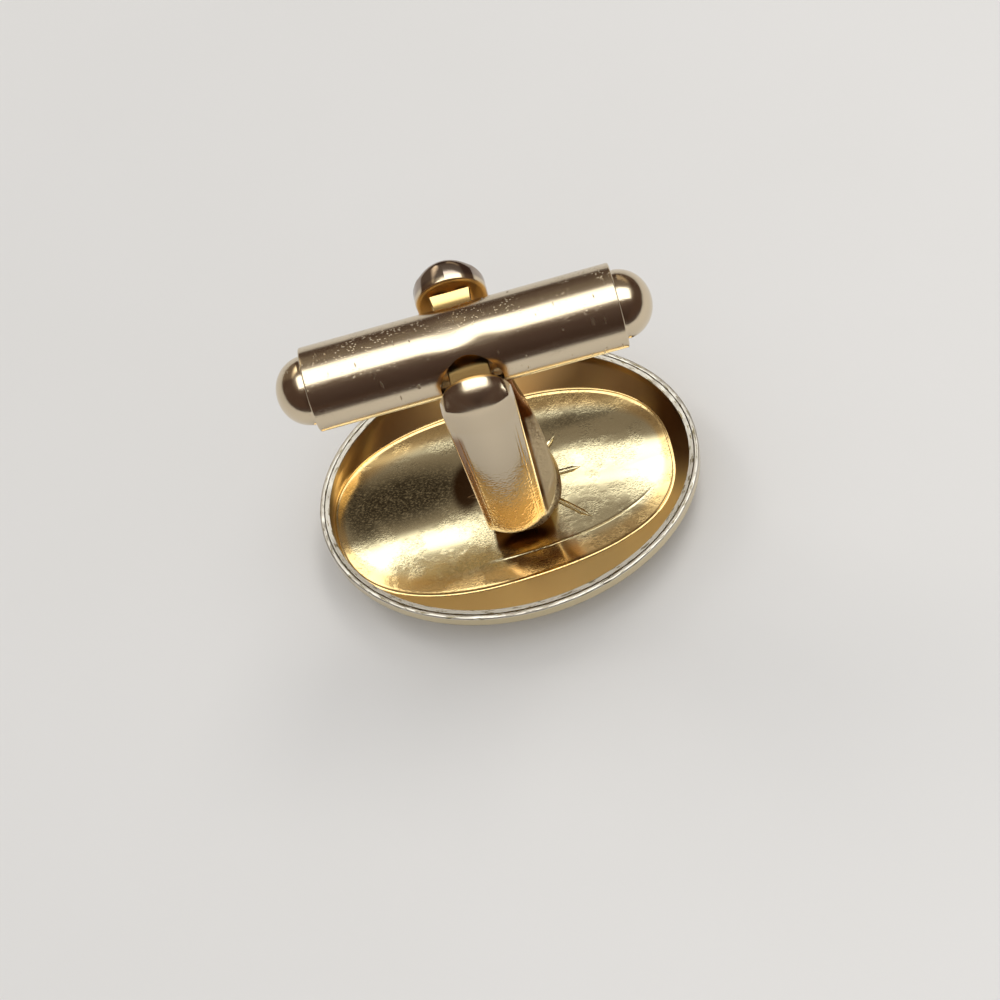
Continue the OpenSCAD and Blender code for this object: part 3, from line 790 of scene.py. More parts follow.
class CUFFLINK_OT_back_pan(bpy.types.Operator):
    """Builds the stamped back pan with its crease"""
    bl_idname = "cufflink.back_pan"
    bl_label = "Back Pan"

    def execute(self, context):
        head = in_mm(settings().head)
        upper, zones = pan_surface(head)
        normals = surface_normals(upper)
        under = upper - normals * head["pan_sheet"]
        under[-1, :, 2] = head["height"]
        limit = head["length"] / 2 - head["cover_sheet"] - head["seam"]
        limit_w = head["width"] / 2 - head["cover_sheet"] - head["seam"]
        size = np.hypot(under[..., 0] / limit, under[..., 1] / limit_w)
        squeeze = np.where(size > 1, 1 / size, 1)
        under[..., 0] *= squeeze
        under[..., 1] *= squeeze
        # The pan's edge is a trace lower than the cover's and nicked
        waves = bumps(12, upper[-1, :, 0], upper[-1, :, 1], 0, 0.8, 7)
        drop = 0.012 + 0.035 * np.clip(waves * 1.5, 0, 1)
        upper[-1, :, 2] -= drop
        under[-1, :, 2] -= drop
        middle = float(floor_height(0.0, 0.0, head))
        rings = np.concatenate([under, upper[::-1]])
        piece = loft("back_pan_visual", rings, (0, 0, middle - head["pan_sheet"]), (0, 0, middle),
                     [2.0] * (len(under) - 1) + [3.0] + zones[::-1])
        finish = settings().finish
        material = stamped_gilt(
            "stamped_satin_gilt", finish.gilt, finish.worn_gilt, finish.tarnish, finish.worn)
        dress(piece, material, "head", "pan_gilt", "back_pan")
        return {"FINISHED"}


# The struck star: length of all rays but the last, as a share of it, and how far the star's
# middle lies across the bar
SHORT_RAY, STAR_ACROSS = 0.73, 0.13 * MM


def new_tree(name, **inputs):
    """An empty Geometry Nodes tree and the sockets that give its named inputs."""
    tree = bpy.data.node_groups.new(name, "GeometryNodeTree")
    tree.interface.new_socket("Geometry", in_out="OUTPUT", socket_type="NodeSocketGeometry")
    for socket, kind in inputs.items():
        tree.interface.new_socket(
            socket.replace("_", " "), in_out="INPUT", socket_type="NodeSocket" + kind)
    return tree, node(tree, "NodeGroupInput").outputs


def end_tree(tree, given, shape):
    """Ends a tree in real geometry with its material."""
    real = node(tree, "GeometryNodeRealizeInstances", {"Geometry": shape})
    dressed = node(tree, "GeometryNodeSetMaterial", {"Geometry": real, "Material": given["Material"]})
    node(tree, "NodeGroupOutput", {"Geometry": dressed})
    return tree


def star_tree():
    """Geometry Nodes: turns one ray round the star and lays the copies on the pan."""
    tree, given = new_tree("Star_rays", Ray="Object", Pan="Object", Count="Int", Turn="Float",
                           Middle="Vector", Material="Material")
    ray = node(tree, "GeometryNodeObjectInfo", {"Object": given["Ray"]})
    pan = node(tree, "GeometryNodeObjectInfo", {"Object": given["Pan"]})
    line = node(tree, "GeometryNodeMeshLine", {
        "Count": given["Count"], "Start Location": given["Middle"], "Offset": (0, 0, 0)})
    index = node(tree, "GeometryNodeInputIndex")
    step = node(tree, "ShaderNodeMath", {0: 2 * math.pi, 1: given["Count"]}, operation="DIVIDE")
    spin = node(tree, "ShaderNodeCombineXYZ", {"Z": summed(tree, given["Turn"], (index, step))})
    # Only the last ray kept its full length
    last = node(tree, "ShaderNodeMath", {0: given["Count"], 1: 1.0}, operation="SUBTRACT")
    full = node(tree, "ShaderNodeMath", {0: index, 1: last, 2: 0.5}, operation="COMPARE")
    size = node(tree, "ShaderNodeCombineXYZ", {
        "X": summed(tree, SHORT_RAY, (full, 1 - SHORT_RAY)), "Y": 1.0, "Z": 1.0})
    copies = node(tree, "GeometryNodeInstanceOnPoints", {
        "Points": line, "Instance": ray.outputs["Geometry"], "Rotation": spin, "Scale": size})
    real = node(tree, "GeometryNodeRealizeInstances", {"Geometry": copies})
    parts = node(tree, "ShaderNodeSeparateXYZ", {"Vector": node(tree, "GeometryNodeInputPosition")})
    above = node(tree, "ShaderNodeCombineXYZ", {
        "X": parts.outputs["X"], "Y": parts.outputs["Y"], "Z": 4 * MM})
    hit = node(tree, "GeometryNodeRaycast", {
        "Target Geometry": pan.outputs["Geometry"], "Source Position": above,
        "Ray Direction": (0, 0, -1), "Ray Length": 8 * MM})
    landed = node(tree, "ShaderNodeSeparateXYZ", {"Vector": hit.outputs["Hit Position"]})
    # The die struck less deep on the left
    faint = node(tree, "ShaderNodeMapRange", {
        "Value": parts.outputs["X"], "From Min": -2.0 * MM, "From Max": -0.4 * MM,
        "To Min": -0.8, "To Max": 0.0})
    lift = node(tree, "ShaderNodeCombineXYZ", {
        "Z": summed(tree, landed.outputs["Z"], (parts.outputs["Z"], faint))})
    return end_tree(tree, given, node(tree, "GeometryNodeSetPosition", {"Geometry": real, "Offset": lift}))


def grow(name, tree, values):
    """Runs a node tree with its inputs set by identifier, and keeps the result as a mesh."""
    seed = bpy.data.objects.new(name + "_seed", bpy.data.meshes.new(name + "_seed"))
    bpy.context.scene.collection.objects.link(seed)
    modifier = seed.modifiers.new("Grow", "NODES")
    modifier.node_group = tree
    for item in tree.interface.items_tree:
        if item.item_type == "SOCKET" and item.in_out == "INPUT" and item.name in values:
            modifier[item.identifier] = values[item.name]
    mesh = evaluated(seed)
    if not mesh.polygons:
        raise RuntimeError(f"{name}: the node tree gave no faces")
    mesh.name = name
    bpy.data.objects.remove(seed)
    bpy.data.node_groups.remove(tree)
    piece = bpy.data.objects.new(name, mesh)
    bpy.context.scene.collection.objects.link(piece)
    return piece


class CUFFLINK_OT_star(bpy.types.Operator):
    """Lays the struck star's rays on the floor of the pan"""
    bl_idname = "cufflink.star"
    bl_label = "Struck Star"

    def execute(self, context):
        star = in_mm(settings().star)
        pan = bpy.data.objects["back_pan_visual"]
        sink, foot = 0.05, 0.03
        rows = []
        for share in np.linspace(0, 1, 26):
            r = star["root"] + (star["tip"] - star["root"]) * share
            close = 1.0 if share < 0.8 else max(0.02, (1 - share) / 0.2)
            half, high = star["width"] / 2 * close, star["height"] * (0.35 + 0.65 * close)
            right = [(half * 0.5, 0.25 * high), (half * 0.82, high), (half, 0.6 * high), (half + foot, -sink)]
            left = [(-across, up) for across, up in reversed(right)]
            rows.append([(r, across, up) for across, up in left + [(0, 0.1 * high)] + right])
        ray = loft("ray", rows)
        piece = grow("star_rays", star_tree(), {
            "Ray": ray, "Pan": pan, "Count": settings().star.rays, "Turn": settings().star.turn,
            "Middle": (settings().star.shift, STAR_ACROSS, 0.0)})
        bpy.data.objects.remove(ray)
        tidy_mesh(piece)
        dress(piece, pan.data.materials[0], "head", "pan_gilt")
        return {"FINISHED"}


# The fork, its braze and the cross pin

# The far ear is rounded less than the near one; an ear's dome grows over the first part of the
# turn round it, and its rounding tightens towards its sides, up to a limit
FAR_EAR_SHARE, DOME_TURN, SIDE_TIGHTER, SIDE_LIMIT = 0.24, 0.8, 0.27, 2.5
# Fine lines along the strap's outer edges: share of the half width and depth, and their width
EDGE_LINES, LINE_WIDTH = ((0.935, 0.016), (0.845, 0.012)), 0.02
# Stations along the foot, the bend, the arm and round the ear
FOOT_STEPS, BEND_STEPS, ARM_STEPS, EAR_STEPS = 10, 30, 56, 22
BRAZE_POINTS, PIN_POINTS = 144, 96
# The square pin's half side falls by this below its full size from its ends to its middle, and
# its far end flares more than its near one
PIN_WAIST, FAR_FLARE, SQUARE = 0.03, 2.4, 22


def fork_path(fork):
    """The strap's middle line and its directions, from the near ear to the far one."""
    t = fork["thickness"]
    mid_r = fork["bend"] - t / 2
    foot_half = fork["foot_gap"] / 2 + t - fork["bend"]
    bend_z = fork["lift"] + fork["bend"]
    lean = math.atan((fork["ear_gap"] / 2 + t / 2 - foot_half - mid_r) / (fork["pivot"] - bend_z))
    low = (foot_half + mid_r * math.cos(lean), bend_z - mid_r * math.sin(lean))
    arm = (fork["pivot"] - low[1]) / math.cos(lean)
    return mid_r, foot_half, bend_z, lean, low, arm


def strap_rows(fork, side):
    """Stations of one half: y, z, direction, half width, turn round the ear and lug."""
    mid_r, foot_half, bend_z, lean, low, arm = fork_path(fork)
    reach = fork["lug_up"] if side > 0 else fork["lug_near"]
    bend_l = mid_r * (math.pi / 2 - lean)

    def lug(d):
        return fork["lug"] / 4 * (1 + math.cos(math.pi * d / reach)) if d < reach else 0.0

    rows = []
    for d in np.linspace(0, foot_half, FOOT_STEPS, endpoint=False):
        rows.append((d, bend_z - mid_r, 0.0, fork["foot_width"] / 2, 0.0, lug(d)))
    for share in np.linspace(0, 1, BEND_STEPS, endpoint=False):
        f = -math.pi / 2 + (math.pi / 2 - lean) * share
        d = foot_half + bend_l * share
        rows.append((foot_half + mid_r * math.cos(f), bend_z + mid_r * math.sin(f), f + math.pi / 2,
                     fork["foot_width"] / 2, 0.0, lug(d)))
    for share in np.linspace(0, 1, ARM_STEPS):
        d = arm * share
        half = fork["foot_width"] / 2 + (fork["ear"] - fork["foot_width"]) / 2 * share
        rows.append((low[0] + d * math.sin(lean), low[1] + d * math.cos(lean), math.pi / 2 - lean,
                     half, 0.0, lug(foot_half + bend_l + d)))
    for f in np.radians(np.linspace(0, 90, EAR_STEPS))[1:]:
        rows.append((low[0] + arm * math.sin(lean), low[1] + arm * math.cos(lean), math.pi / 2 - lean,
                     fork["ear"] / 2, f, 0.0))
    return rows


def strap_section(fork):
    """The strap's section: inset from its edge, place across, height off its middle, how much
    of the crown applies, and the depth of the two fine lines along each outer edge."""
    r, t = fork["edge"], fork["thickness"]
    edge = [0.79, 0.81, 0.83, 0.845, 0.86, 0.875, 0.89, 0.905, 0.92, 0.935, 0.95, 0.965, 0.98, 1.0]
    across = np.array([-k for k in reversed(edge)] + list(np.linspace(-0.74, 0.74, 15)) + edge)
    line = sum(depth * np.exp(-((np.abs(across) - place) / LINE_WIDTH) ** 2)
               for place, depth in EDGE_LINES)
    corner = np.radians(np.linspace(0, 90, 7))[1:]
    points = []
    # The crowned outer face and its corners first, then the flat inner face and its corners
    for face in (1, -1):
        outer = max(face, 0)
        points += [(r, face * k, face * t / 2, outer, outer * depth) for k, depth in zip(across, line)]
        rounded = [(r - r * math.sin(f), face * (t / 2 - r + r * math.cos(f))) for f in corner]
        points += [(inset, face, height, outer, 0) for inset, height in rounded]
        points += [(inset, face, -height, 1 - outer, 0) for inset, height in rounded[-2::-1]]
    return points


def ear_fall(fork, across, up, turn, side):
    """How far the outer face falls back near the edge of the ear, whose top is domed."""
    r = fork["ear_round"] * (1.0 if side < 0 else FAR_EAR_SHARE)
    reach = math.hypot(up, across * soft_step(turn, 0, DOME_TURN))
    length = r * (1 - SIDE_TIGHTER * min(across * across, SIDE_LIMIT))
    rise = min(max(reach - fork["ear"] / 2 + length, 0) / length, 1)
    return r * (1 - math.sqrt(1 - rise * rise))


def strap_ring(fork, row, section, side):
    """One station's ring of points, on the near (-1) or far (+1) half."""
    y, z, way, half, turn, lug = row
    t = fork["thickness"]
    ring = []
    lined = min(max((fork["pivot"] - 0.5 - z) / 2, 0), 1)
    for inset, k, n, crowned, groove in section:
        wide = (half - inset) * math.cos(turn)
        forward = (half - inset) * math.sin(turn)
        n -= crowned * fork["crown"] * (k * math.cos(turn)) ** 2 + groove * lined
        n = (n + t / 2) * (1 - ear_fall(fork, k * wide, forward, turn, side) / t) - t / 2
        x = k * (wide + lug) + lug
        py = y + n * math.sin(way) + forward * math.cos(way)
        pz = z - n * math.cos(way) + forward * math.sin(way)
        ring.append((x, side * py, pz))
    return ring


class CUFFLINK_OT_fork(bpy.types.Operator):
    """Bends the strap to a fork with round ears and a lug on its foot"""
    bl_idname = "cufflink.fork"
    bl_label = "Fork"

    def execute(self, context):
        fork = in_mm(settings().fork)
        section = strap_section(fork)
        near, far = strap_rows(fork, -1), strap_rows(fork, 1)
        rings = [strap_ring(fork, row, section, -1) for row in near[:0:-1]]
        rings += [strap_ring(fork, row, section, 1) for row in far]
        grid = np.array(rings)
        x, y, z = grid[..., 0], grid[..., 1], grid[..., 2]
        low = np.clip(1 - (z - fork["lift"]) / 6, 0, 1)
        grid[..., 0] += 0.012 * bumps(21, x, y, z, 3.0) * low
        grid[..., 2] += 0.010 * bumps(22, x, y, z, 2.6) * low
        piece = loft("fork_visual", grid)
        # Blind sockets for the pin's round ends
        span = fork["ear_gap"] + 2 * (fork["tenon_length"] + 0.02)
        drill = cutter("socket", fork["tenon"] / 2 + 0.02, span, fork["pivot"])
        cut(piece, drill)
        finish = settings().finish
        material = bent_strap_plate("bent_champagne_strap", finish.champagne, "#E5C080", "#EADCBC")
        dress(piece, material, "head", "fork_gilt", "fork")
        return {"FINISHED"}


def cutter(name, radius, span, height, sides=128):
    """A round cutter along Y at the pivot's height."""
    t = angles(sides)
    rings = [np.stack([radius * np.cos(t), np.full(sides, y), height + radius * np.sin(t)], 1)
             for y in np.linspace(-span / 2, span / 2, 3)]
    return loft(name, rings)


def cut(piece, tool):
    """Cuts a tool out of a piece for good."""
    modifier = piece.modifiers.new("Cut", "BOOLEAN")
    modifier.operation = "DIFFERENCE"
    modifier.solver = "EXACT"
    modifier.object = tool
    mesh = evaluated(piece)
    piece.modifiers.remove(modifier)
    piece.data = mesh
    bpy.data.objects.remove(tool)
    tidy_mesh(piece)


class CUFFLINK_OT_braze(bpy.types.Operator):
    """Pools the braze round the fork's foot"""
    bl_idname = "cufflink.braze"
    bl_label = "Braze"

    def execute(self, context):
        fork, head = in_mm(settings().fork), in_mm(settings().head)
        lug = fork["lug"]
        half_w = (fork["foot_width"] + lug) / 2 + 0.2
        rings = []
        t = angles(BRAZE_POINTS)
        for share in np.linspace(0, 1, 18):
            size = 1 - 0.42 * share
            rise = 0.44 * math.sin(share * math.pi / 2) ** 0.8
            x = lug / 2 + half_w * size * np.cos(t)
            y = 0.1 + 2.68 * size * np.sin(t)
            wander = 1 + 0.025 * bumps(31, x, y, 0, 1.6)
            x, y = x * wander, y * wander
            ground = floor_height(x, y, head) - 0.02
            rings.append(np.stack([x, y, ground + rise + 0.02 * bumps(32, x, y, 0, 1.1) * share], 1))
        piece = loft("braze_visual", rings)
        dress(piece, silver_braze("silver_braze_plated", settings().finish.solder),
              "head", "braze", "solder_fillet")
        return {"FINISHED"}


class CUFFLINK_OT_pin(bpy.types.Operator):
    """Builds the square cross pin with its round ends"""
    bl_idname = "cufflink.pin"
    bl_label = "Cross Pin"

    def execute(self, context):
        fork = in_mm(settings().fork)
        half = fork["pin_side"] / 2
        t = angles(PIN_POINTS) + math.pi / PIN_POINTS

        def ring(y, size, power):
            c, s = np.cos(t), np.sin(t)
            r = size * (np.abs(c) ** power + np.abs(s) ** power) ** (-1 / power)
            return np.stack([r * c, np.full(PIN_POINTS, y), fork["pivot"] + r * s], 1)

        flat, end = fork["ear_gap"] / 2 - 0.08, fork["ear_gap"] / 2 + fork["tenon_length"]
        tenon, chamfer = fork["tenon"] / 2, 0.06
        # The press fit upset the square a trace towards its ends: place, size and squareness
        rows = [(-end, tenon - chamfer, 2), (-end + chamfer, tenon, 2), (-flat, tenon, 2),
                (-flat, half - 0.07, 9), (-flat + 0.07, half, SQUARE), (-flat + 0.3, half - 0.014, SQUARE),
                (-flat + 0.5, half - 0.025, SQUARE), (-flat + 0.8, half - PIN_WAIST, SQUARE)]
        far = [(-y, half - FAR_FLARE * (half - size) if power == SQUARE else size, power)
               for y, size, power in reversed(rows)]
        rows += [(y, half - PIN_WAIST, SQUARE) for y in np.linspace(-flat + 1.2, flat - 1.2, 5)] + far
        piece = loft("cross_pin_visual", [ring(*row) for row in rows])
        material = champagne_plate("milled_gilt_pin", "#ECCB88", 0.16, 0.0, (0.5, 4.0, 0.5))
        dress(piece, material, "head", "pin_gilt", "cross_pin")
        return {"FINISHED"}


# The toggle bar

# Drilling and the pin's click pushed the tube's top in by a few hundredths: place and width
# along the bar, place and width across it, and strength; and the depth as a share of the radius
DENTS, DENT_DEPTH = ((-0.5, 0.9, -0.1, 0.8, 1.0), (1.0, 0.8, -1.0, 0.5, 0.5)), 0.1


def turned_rings(profile, height, side, count):
    """Rings about the bar's axis from (x, radius) pairs."""
    t = angles(count)
    return [np.stack([np.full(count, side * x), r * np.cos(t), height + r * np.sin(t)], 1)
            for x, r in profile]


class CUFFLINK_OT_tube(bpy.types.Operator):
    """Builds the cross-drilled tube of the toggle bar"""
    bl_idname = "cufflink.tube"
    bl_label = "Bar Tube"

    def execute(self, context):
        bar, fork = in_mm(settings().bar), in_mm(settings().fork)
        radius, half = bar["diameter"] / 2, bar["length"] / 2
        bore = radius - bar["wall"]
        round_r = 0.07
        profile = [(-half, bore + 0.03), (-half, radius - round_r)]
        profile += [(-half + round_r - round_r * math.cos(f), radius - round_r + round_r * math.sin(f))
                    for f in np.radians((25, 50, 75))]
        profile += [(x, radius) for x in np.linspace(-half + round_r, half - round_r, 121)]
        profile += [(-x, r) for x, r in reversed(profile[:5])]
        inside = [(x, bore) for x in np.linspace(half - 0.03, -half + 0.03, 41)]
        rings = np.array(turned_rings(profile + inside, fork["pivot"], 1, 192))
        x, y, z = rings[..., 0], rings[..., 1], rings[..., 2] - fork["pivot"]
        out = np.hypot(y, z)
        press = sum(strength * np.exp(-((x - along) / long) ** 2 - ((y - across) / wide) ** 2)
                    for along, long, across, wide, strength in DENTS)
        dent = 1 - DENT_DEPTH * press * (z > 0) * (out > bore + 0.1) / out
        rings[..., 1] = y * dent
        rings[..., 2] = fork["pivot"] + z * dent
        rows, columns = rings.shape[:2]
        faces = grid_faces(rows, columns)
        last = (rows - 1) * columns
        faces += [(last + j, last + (j + 1) % columns, (j + 1) % columns, j) for j in range(columns)]
        piece = make_object("bar_tube_visual", rings.reshape(-1, 3), faces)
        cut(piece, cutter("cross_hole", bar["hole"] / 2, bar["diameter"] + 1, fork["pivot"]))
        material = champagne_plate("drawn_champagne_tube", settings().finish.champagne, 0.19, 0.5,
                                   (0.6, 9.0, 9.0))
        dress(piece, material, "toggle_bar", "bar_plate", "bar_tube")
        return {"FINISHED"}


class CUFFLINK_OT_caps(bpy.types.Operator):
    """Builds the two round end caps"""
    bl_idname = "cufflink.caps"
    bl_label = "End Caps"

    def execute(self, context):
        bar, fork = in_mm(settings().bar), in_mm(settings().fork)
        half = bar["length"] / 2
        plug_r = bar["diameter"] / 2 - bar["wall"] - 0.02
        out = bar["reach"] - half
        profile = [(half - bar["plug"], plug_r - 0.08), (half - bar["plug"] + 0.08, plug_r)]
        profile += [(x, plug_r) for x in np.linspace(half - bar["plug"] + 0.2, half, 8)]
        for f in np.radians(np.linspace(3, 89, 40)):
            x = out * math.sin(f)
            groove = 1 - 0.045 * math.exp(-(x / 0.07) ** 2)
            profile.append((half + x, plug_r * math.cos(f) ** 0.96 * groove))
        material = champagne_plate("turned_champagne_cap", settings().finish.champagne, 0.15, 0.25,
                                   (5.0, 1.0, 1.0))
        for side, name in ((-1, "left"), (1, "right")):
            piece = loft(f"{name}_end_cap_visual", turned_rings(profile, fork["pivot"], side, 128),
                         None, (side * bar["reach"], 0, fork["pivot"]))
            dress(piece, material, "toggle_bar", "cap_plate", f"{name}_end_cap")
        return {"FINISHED"}


def spring_tree():
    """Geometry Nodes: a wire of round section wound to a coil along X."""
    tree, given = new_tree("Detent_spring", Curls="Float", Coil_radius="Float", Wire_radius="Float",
                           Length="Float", Start="Vector", Material="Material")
    coil = node(tree, "GeometryNodeCurveSpiral", {
        "Resolution": 40, "Rotations": given["Curls"], "Start Radius": given["Coil radius"],
        "End Radius": given["Coil radius"], "Height": given["Length"]})
    section = node(tree, "GeometryNodeCurvePrimitiveCircle", {
        "Resolution": 14, "Radius": given["Wire radius"]})
    wire = node(tree, "GeometryNodeCurveToMesh", {
        "Curve": coil, "Profile Curve": section, "Fill Caps": True})
    return end_tree(tree, given, node(tree, "GeometryNodeTransform", {
        "Geometry": wire, "Translation": given["Start"], "Rotation": (0, math.pi / 2, 0)}))


class CUFFLINK_OT_detent(bpy.types.Operator):
    """Winds the detent springs and finishes the plungers"""
    bl_idname = "cufflink.detent"
    bl_label = "Detent"

    def execute(self, context):
        bar = settings().bar
        finish = settings().finish
        wire = bar.wire
        material = turned_steel("drawn_spring_wire", finish.steel, (3.0, 3.0, 3.0))
        for name in ("left_spring", "right_spring"):
            low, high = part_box(name)
            middle = (low + high) / 2
            coil = (high.y - low.y) / 2 - wire / 2
            piece = grow(name + "_visual", spring_tree(), {
                "Curls": float(bar.curls), "Coil radius": coil, "Wire radius": wire / 2,
                "Length": high.x - low.x - wire,
                "Start": (low.x + wire / 2, middle.y, middle.z), "Material": material})
            tidy_mesh(piece)
            dress(piece, material, "toggle_bar", "spring_wire", name)
        steel = turned_steel("turned_plunger_steel", finish.steel, (8.0, 1.0, 1.0))
        for name in ("left_plunger", "right_plunger"):
            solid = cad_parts[name]
            solid.data.materials.clear()
            solid.data.materials.append(steel)
        return {"FINISHED"}


# The stage: paper, lamps, the room that the metal mirrors, and the camera

ROOM_DARK = (0.075, 0.052, 0.047, 1.0)
CARD_LIGHT = (0.74, 0.72, 0.69, 1)
CEILING_DARK = (0.085, 0.05, 0.036, 1)
CEILING_LIGHT = (2.6, 2.6, 2.5, 1)
# Plain light on all that is matt, and what the camera sees beyond the paper
DAYLIGHT, DAYLIGHT_STRENGTH, BACKDROP = (0.99, 0.99, 1.0, 1), 0.69, (0.775, 0.76, 0.74, 1)
# The room from the far side over the zenith to the near side: degrees, and the light from there
ROOM = ((-180, CARD_LIGHT), (-91, CARD_LIGHT), (-89, (0.07, 0.042, 0.03, 1)),
        (-76, (0.085, 0.053, 0.038, 1)), (-61, (0.13, 0.095, 0.074, 1)), (-46, (0.2, 0.16, 0.125, 1)),
        (-34, (0.25, 0.21, 0.175, 1)), (-27, (0.32, 0.28, 0.24, 1)), (-10, (0.4, 0.35, 0.3, 1)),
        (21, (0.2, 0.15, 0.12, 1)), (41, (0.088, 0.055, 0.043, 1)), (75, (0.05, 0.027, 0.019, 1)),
        (105, (0.04, 0.021, 0.014, 1)), (107, CARD_LIGHT))
# Lit walls low on the far left and right: where each starts and ends by bearing, its top, its light
LIT_WALLS = (((-0.2, -0.35), (-1.1, -0.9), (0.76, 0.6), (2.3, 2.0, 1.5, 1)),
             ((0.12, 0.25), (0.9, 0.7), (0.6, 0.45), (0.55, 0.44, 0.3, 1)))
# Name, direction, distance and size in millimetres, light on the paper, and colour
LAMPS = (("key_lamp", (5.3, 8.0, 16.0), 220, 75, 0.17, (1.0, 0.985, 0.96)),
         ("top_lamp", (4.4, 0.5, 15.8), 220, 80, 0.06, (0.98, 0.99, 1.0)),
         ("side_lamp", (-8.0, 9.0, 10.0), 200, 60, 0.08, (1.0, 0.98, 0.95)))
PAPER_REACH, PAPER_DROP = 900.0, 0.004
# The photo's camera: degrees, millimetres, and its focal length and width in pixels
PHOTO_AZIMUTH, PHOTO_ELEVATION, PHOTO_ROLL = 4.62, 62.2, -19.38
PHOTO_DISTANCE, PHOTO_FOCAL, PHOTO_WIDTH = 115.0, 2251.0, 1000.0
PHOTO_SHIFT = (-0.40, -1.13)
SENSOR = 36.0


def photo_camera():
    """The camera of the photograph, worked out from the bar, the fork and the rim."""
    az, el, roll = (math.radians(v) for v in (PHOTO_AZIMUTH, PHOTO_ELEVATION, PHOTO_ROLL))
    back = Vector((math.sin(az) * math.cos(el), -math.cos(az) * math.cos(el), math.sin(el)))
    right = Vector((math.cos(az), math.sin(az), 0))
    up = back.cross(right)
    r = math.cos(roll) * right + math.sin(roll) * up
    u = -math.sin(roll) * right + math.cos(roll) * up
    place = (back * PHOTO_DISTANCE + r * PHOTO_SHIFT[0] + u * PHOTO_SHIFT[1]
             + Vector((0, 0, HEAD_HIGH.z / MM))) * MM
    data = bpy.data.cameras.new("photo_camera")
    data.sensor_width = SENSOR
    data.lens = PHOTO_FOCAL * SENSOR / PHOTO_WIDTH
    data.clip_start, data.clip_end = 1 * MM, 5.0
    camera = bpy.data.objects.new("photo_camera", data)
    bpy.context.scene.collection.objects.link(camera)
    turn = Matrix((r, u, back)).transposed().to_4x4()
    camera.matrix_world = Matrix.Translation(place) @ turn
    bpy.context.scene.camera = camera


def lamp(name, way, distance, size, level, colour):
    """A soft square lamp aimed at the cufflink; level is the light it puts on the paper."""
    data = bpy.data.lights.new(name, "AREA")
    data.shape = "SQUARE"
    data.size = size * MM
    way = Vector(way).normalized()
    data.energy = level * math.pi ** 2 * (distance * MM) ** 2 / way.z
    data.color = colour
    made = bpy.data.objects.new(name, data)
    made.location = way * distance * MM
    made.rotation_mode = "QUATERNION"
    made.rotation_quaternion = way.to_track_quat("Z", "Y")
    made.visible_glossy = False
    bpy.context.scene.collection.objects.link(made)


def room_world():
    """Plain light for the paper, and for polished metal the room it would mirror: a broad
    light overhead, darker walls and a dark side towards the viewer."""
    world = bpy.data.worlds.new("studio")
    world.use_nodes = True
    tree = world.node_tree
    tree.nodes.clear()
    coords = node(tree, "ShaderNodeTexCoord")
    x, y, z = node(tree, "ShaderNodeSeparateXYZ", {"Vector": coords.outputs["Generated"]}).outputs
    # The angle from the zenith, below zero on the far side
    angle = node(tree, "ShaderNodeMath", {0: times(tree, y, -1.0), 1: z}, operation="ARCTAN2")
    place = node(tree, "ShaderNodeMapRange", {"Value": angle, "From Min": -math.pi, "From Max": math.pi})
    light = node(tree, "ShaderNodeValToRGB", {"Fac": place}, stops=[
        ((degrees + 180) / 360, colour) for degrees, colour in ROOM])
    bearing = node(tree, "ShaderNodeMath", {0: x, 1: y}, operation="ARCTAN2")
    for begins, ends, top, colour in LIT_WALLS:
        light = painted(tree, light, (within(
            tree, (bearing, *begins), (bearing, *ends), (z, *top), (z, -0.02, 0.03)), colour))
    # Places on a ceiling one unit up, where the light has four soft sides
    up = node(tree, "ShaderNodeMath", {0: z, 1: 0.02}, operation="MAXIMUM")
    across = node(tree, "ShaderNodeMath", {0: y, 1: up}, operation="DIVIDE")
    along = node(tree, "ShaderNodeMath", {0: x, 1: up}, operation="DIVIDE")
    sky = node(tree, "ShaderNodeMath", {0: z, 1: 0.0}, operation="GREATER_THAN")
    # Beside the light the ceiling falls off into the dark
    for start, full in ((-0.45, -1.1), (1.1, 1.8)):
        beside = times(tree, sky, within(tree, (along, start, full)), 0.95)
        light = painted(tree, light, (beside, CEILING_DARK))
    lit = times(tree, sky, within(
        tree, (across, -0.36, -0.33), (across, 0.54, 0.35), (along, -0.64, -0.44), (along, 1.2, 0.9)))
    mirrored = node(tree, "ShaderNodeBackground", {"Color": painted(tree, light, (lit, CEILING_LIGHT))})
    plain = node(tree, "ShaderNodeBackground", {"Color": DAYLIGHT, "Strength": DAYLIGHT_STRENGTH})
    seen = node(tree, "ShaderNodeBackground", {"Color": BACKDROP})
    path = node(tree, "ShaderNodeLightPath")
    unseen = node(tree, "ShaderNodeMixShader", {
        "Fac": path.outputs["Is Glossy Ray"], 1: plain, 2: mirrored})
    both = node(tree, "ShaderNodeMixShader", {"Fac": path.outputs["Is Camera Ray"], 1: unseen, 2: seen})
    node(tree, "ShaderNodeOutputWorld", {"Surface": both})
    bpy.context.scene.world = world


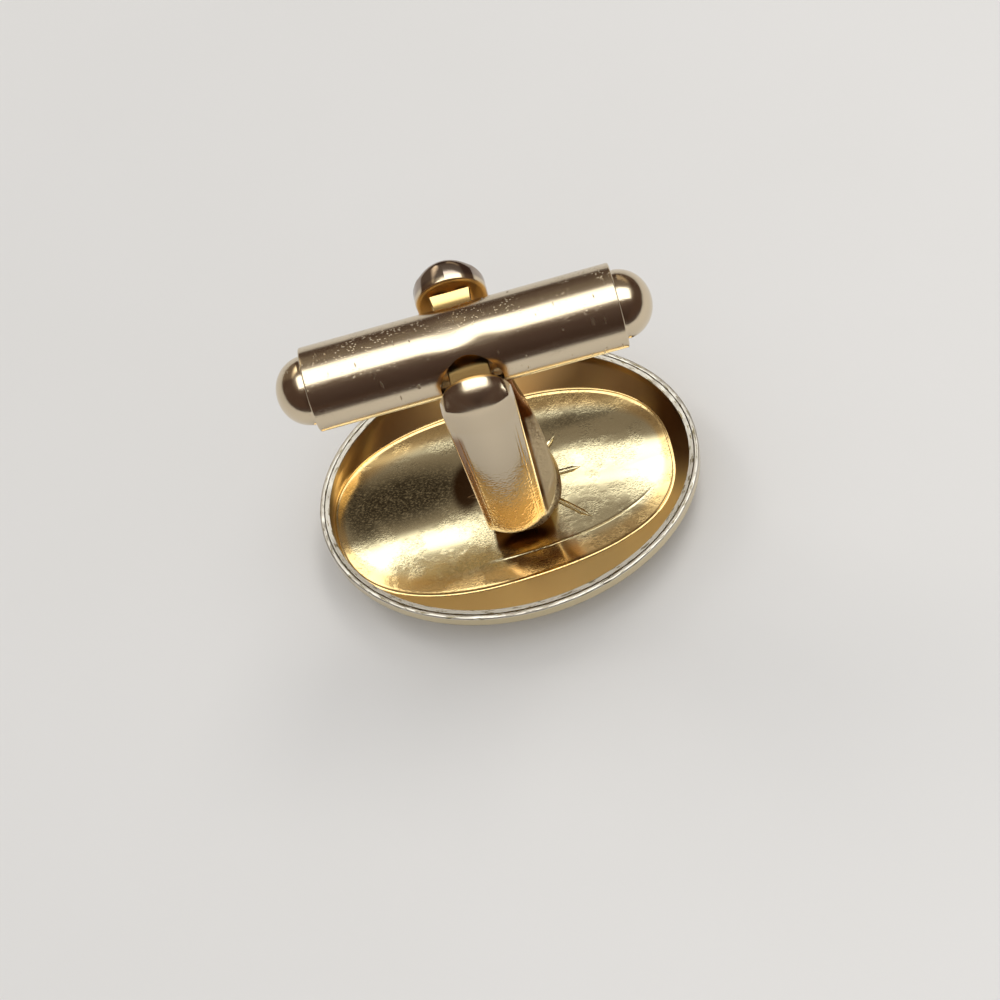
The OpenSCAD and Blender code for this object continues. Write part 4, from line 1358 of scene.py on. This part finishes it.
class CUFFLINK_OT_stage(bpy.types.Operator):
    """Lays the paper and sets the light and the camera"""
    bl_idname = "cufflink.stage"
    bl_label = "Stage"

    def execute(self, context):
        corners = [(x * PAPER_REACH, y * PAPER_REACH, -PAPER_DROP)
                   for x, y in ((-1, -1), (1, -1), (1, 1), (-1, 1))]
        paper = make_object("paper_floor", corners, [(0, 1, 2, 3)])
        if paper.data.polygons[0].normal.z < 0:
            paper.data.flip_normals()
        paper.data.materials.append(matt_paper("matt_paper", settings().finish.paper))
        room_world()
        for values in LAMPS:
            lamp(*values)
        photo_camera()
        context.scene.view_settings.view_transform = "Standard"
        return {"FINISHED"}


class CUFFLINK_PT_panel(bpy.types.Panel):
    """Lists the cufflink's pieces"""
    bl_idname = "CUFFLINK_PT_panel"
    bl_label = "Cufflink"
    bl_space_type = "VIEW_3D"
    bl_region_type = "UI"
    bl_category = "Cufflink"

    def draw(self, context):
        for group in ("head", "star", "fork", "bar", "finish"):
            box = self.layout.box()
            box.label(text=group.capitalize())
            values = getattr(context.scene.cufflink, group)
            for prop in values.bl_rna.properties:
                if prop.identifier not in ("rna_type", "name"):
                    box.prop(values, prop.identifier)
        for operator in OPERATORS:
            self.layout.operator(operator.bl_idname)


OPERATORS = (CUFFLINK_OT_face_cover, CUFFLINK_OT_back_pan, CUFFLINK_OT_star, CUFFLINK_OT_fork,
             CUFFLINK_OT_braze, CUFFLINK_OT_pin, CUFFLINK_OT_tube, CUFFLINK_OT_caps,
             CUFFLINK_OT_detent, CUFFLINK_OT_stage)
CLASSES = (CufflinkHead, CufflinkStar, CufflinkFork, CufflinkBar, CufflinkFinish,
           CufflinkSettings) + OPERATORS + (CUFFLINK_PT_panel,)


def register():
    """Adds the classes and the settings to Blender."""
    for made in CLASSES:
        bpy.utils.register_class(made)
    bpy.types.Scene.cufflink = bpy.props.PointerProperty(type=CufflinkSettings)


def unregister():
    """Takes them away again."""
    del bpy.types.Scene.cufflink
    for made in reversed(CLASSES):
        bpy.utils.unregister_class(made)


def main():
    """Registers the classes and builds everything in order."""
    register()
    for operator in OPERATORS:
        getattr(bpy.ops.cufflink, operator.bl_idname.split(".")[1])()


if __name__ == "__main__":
    main()
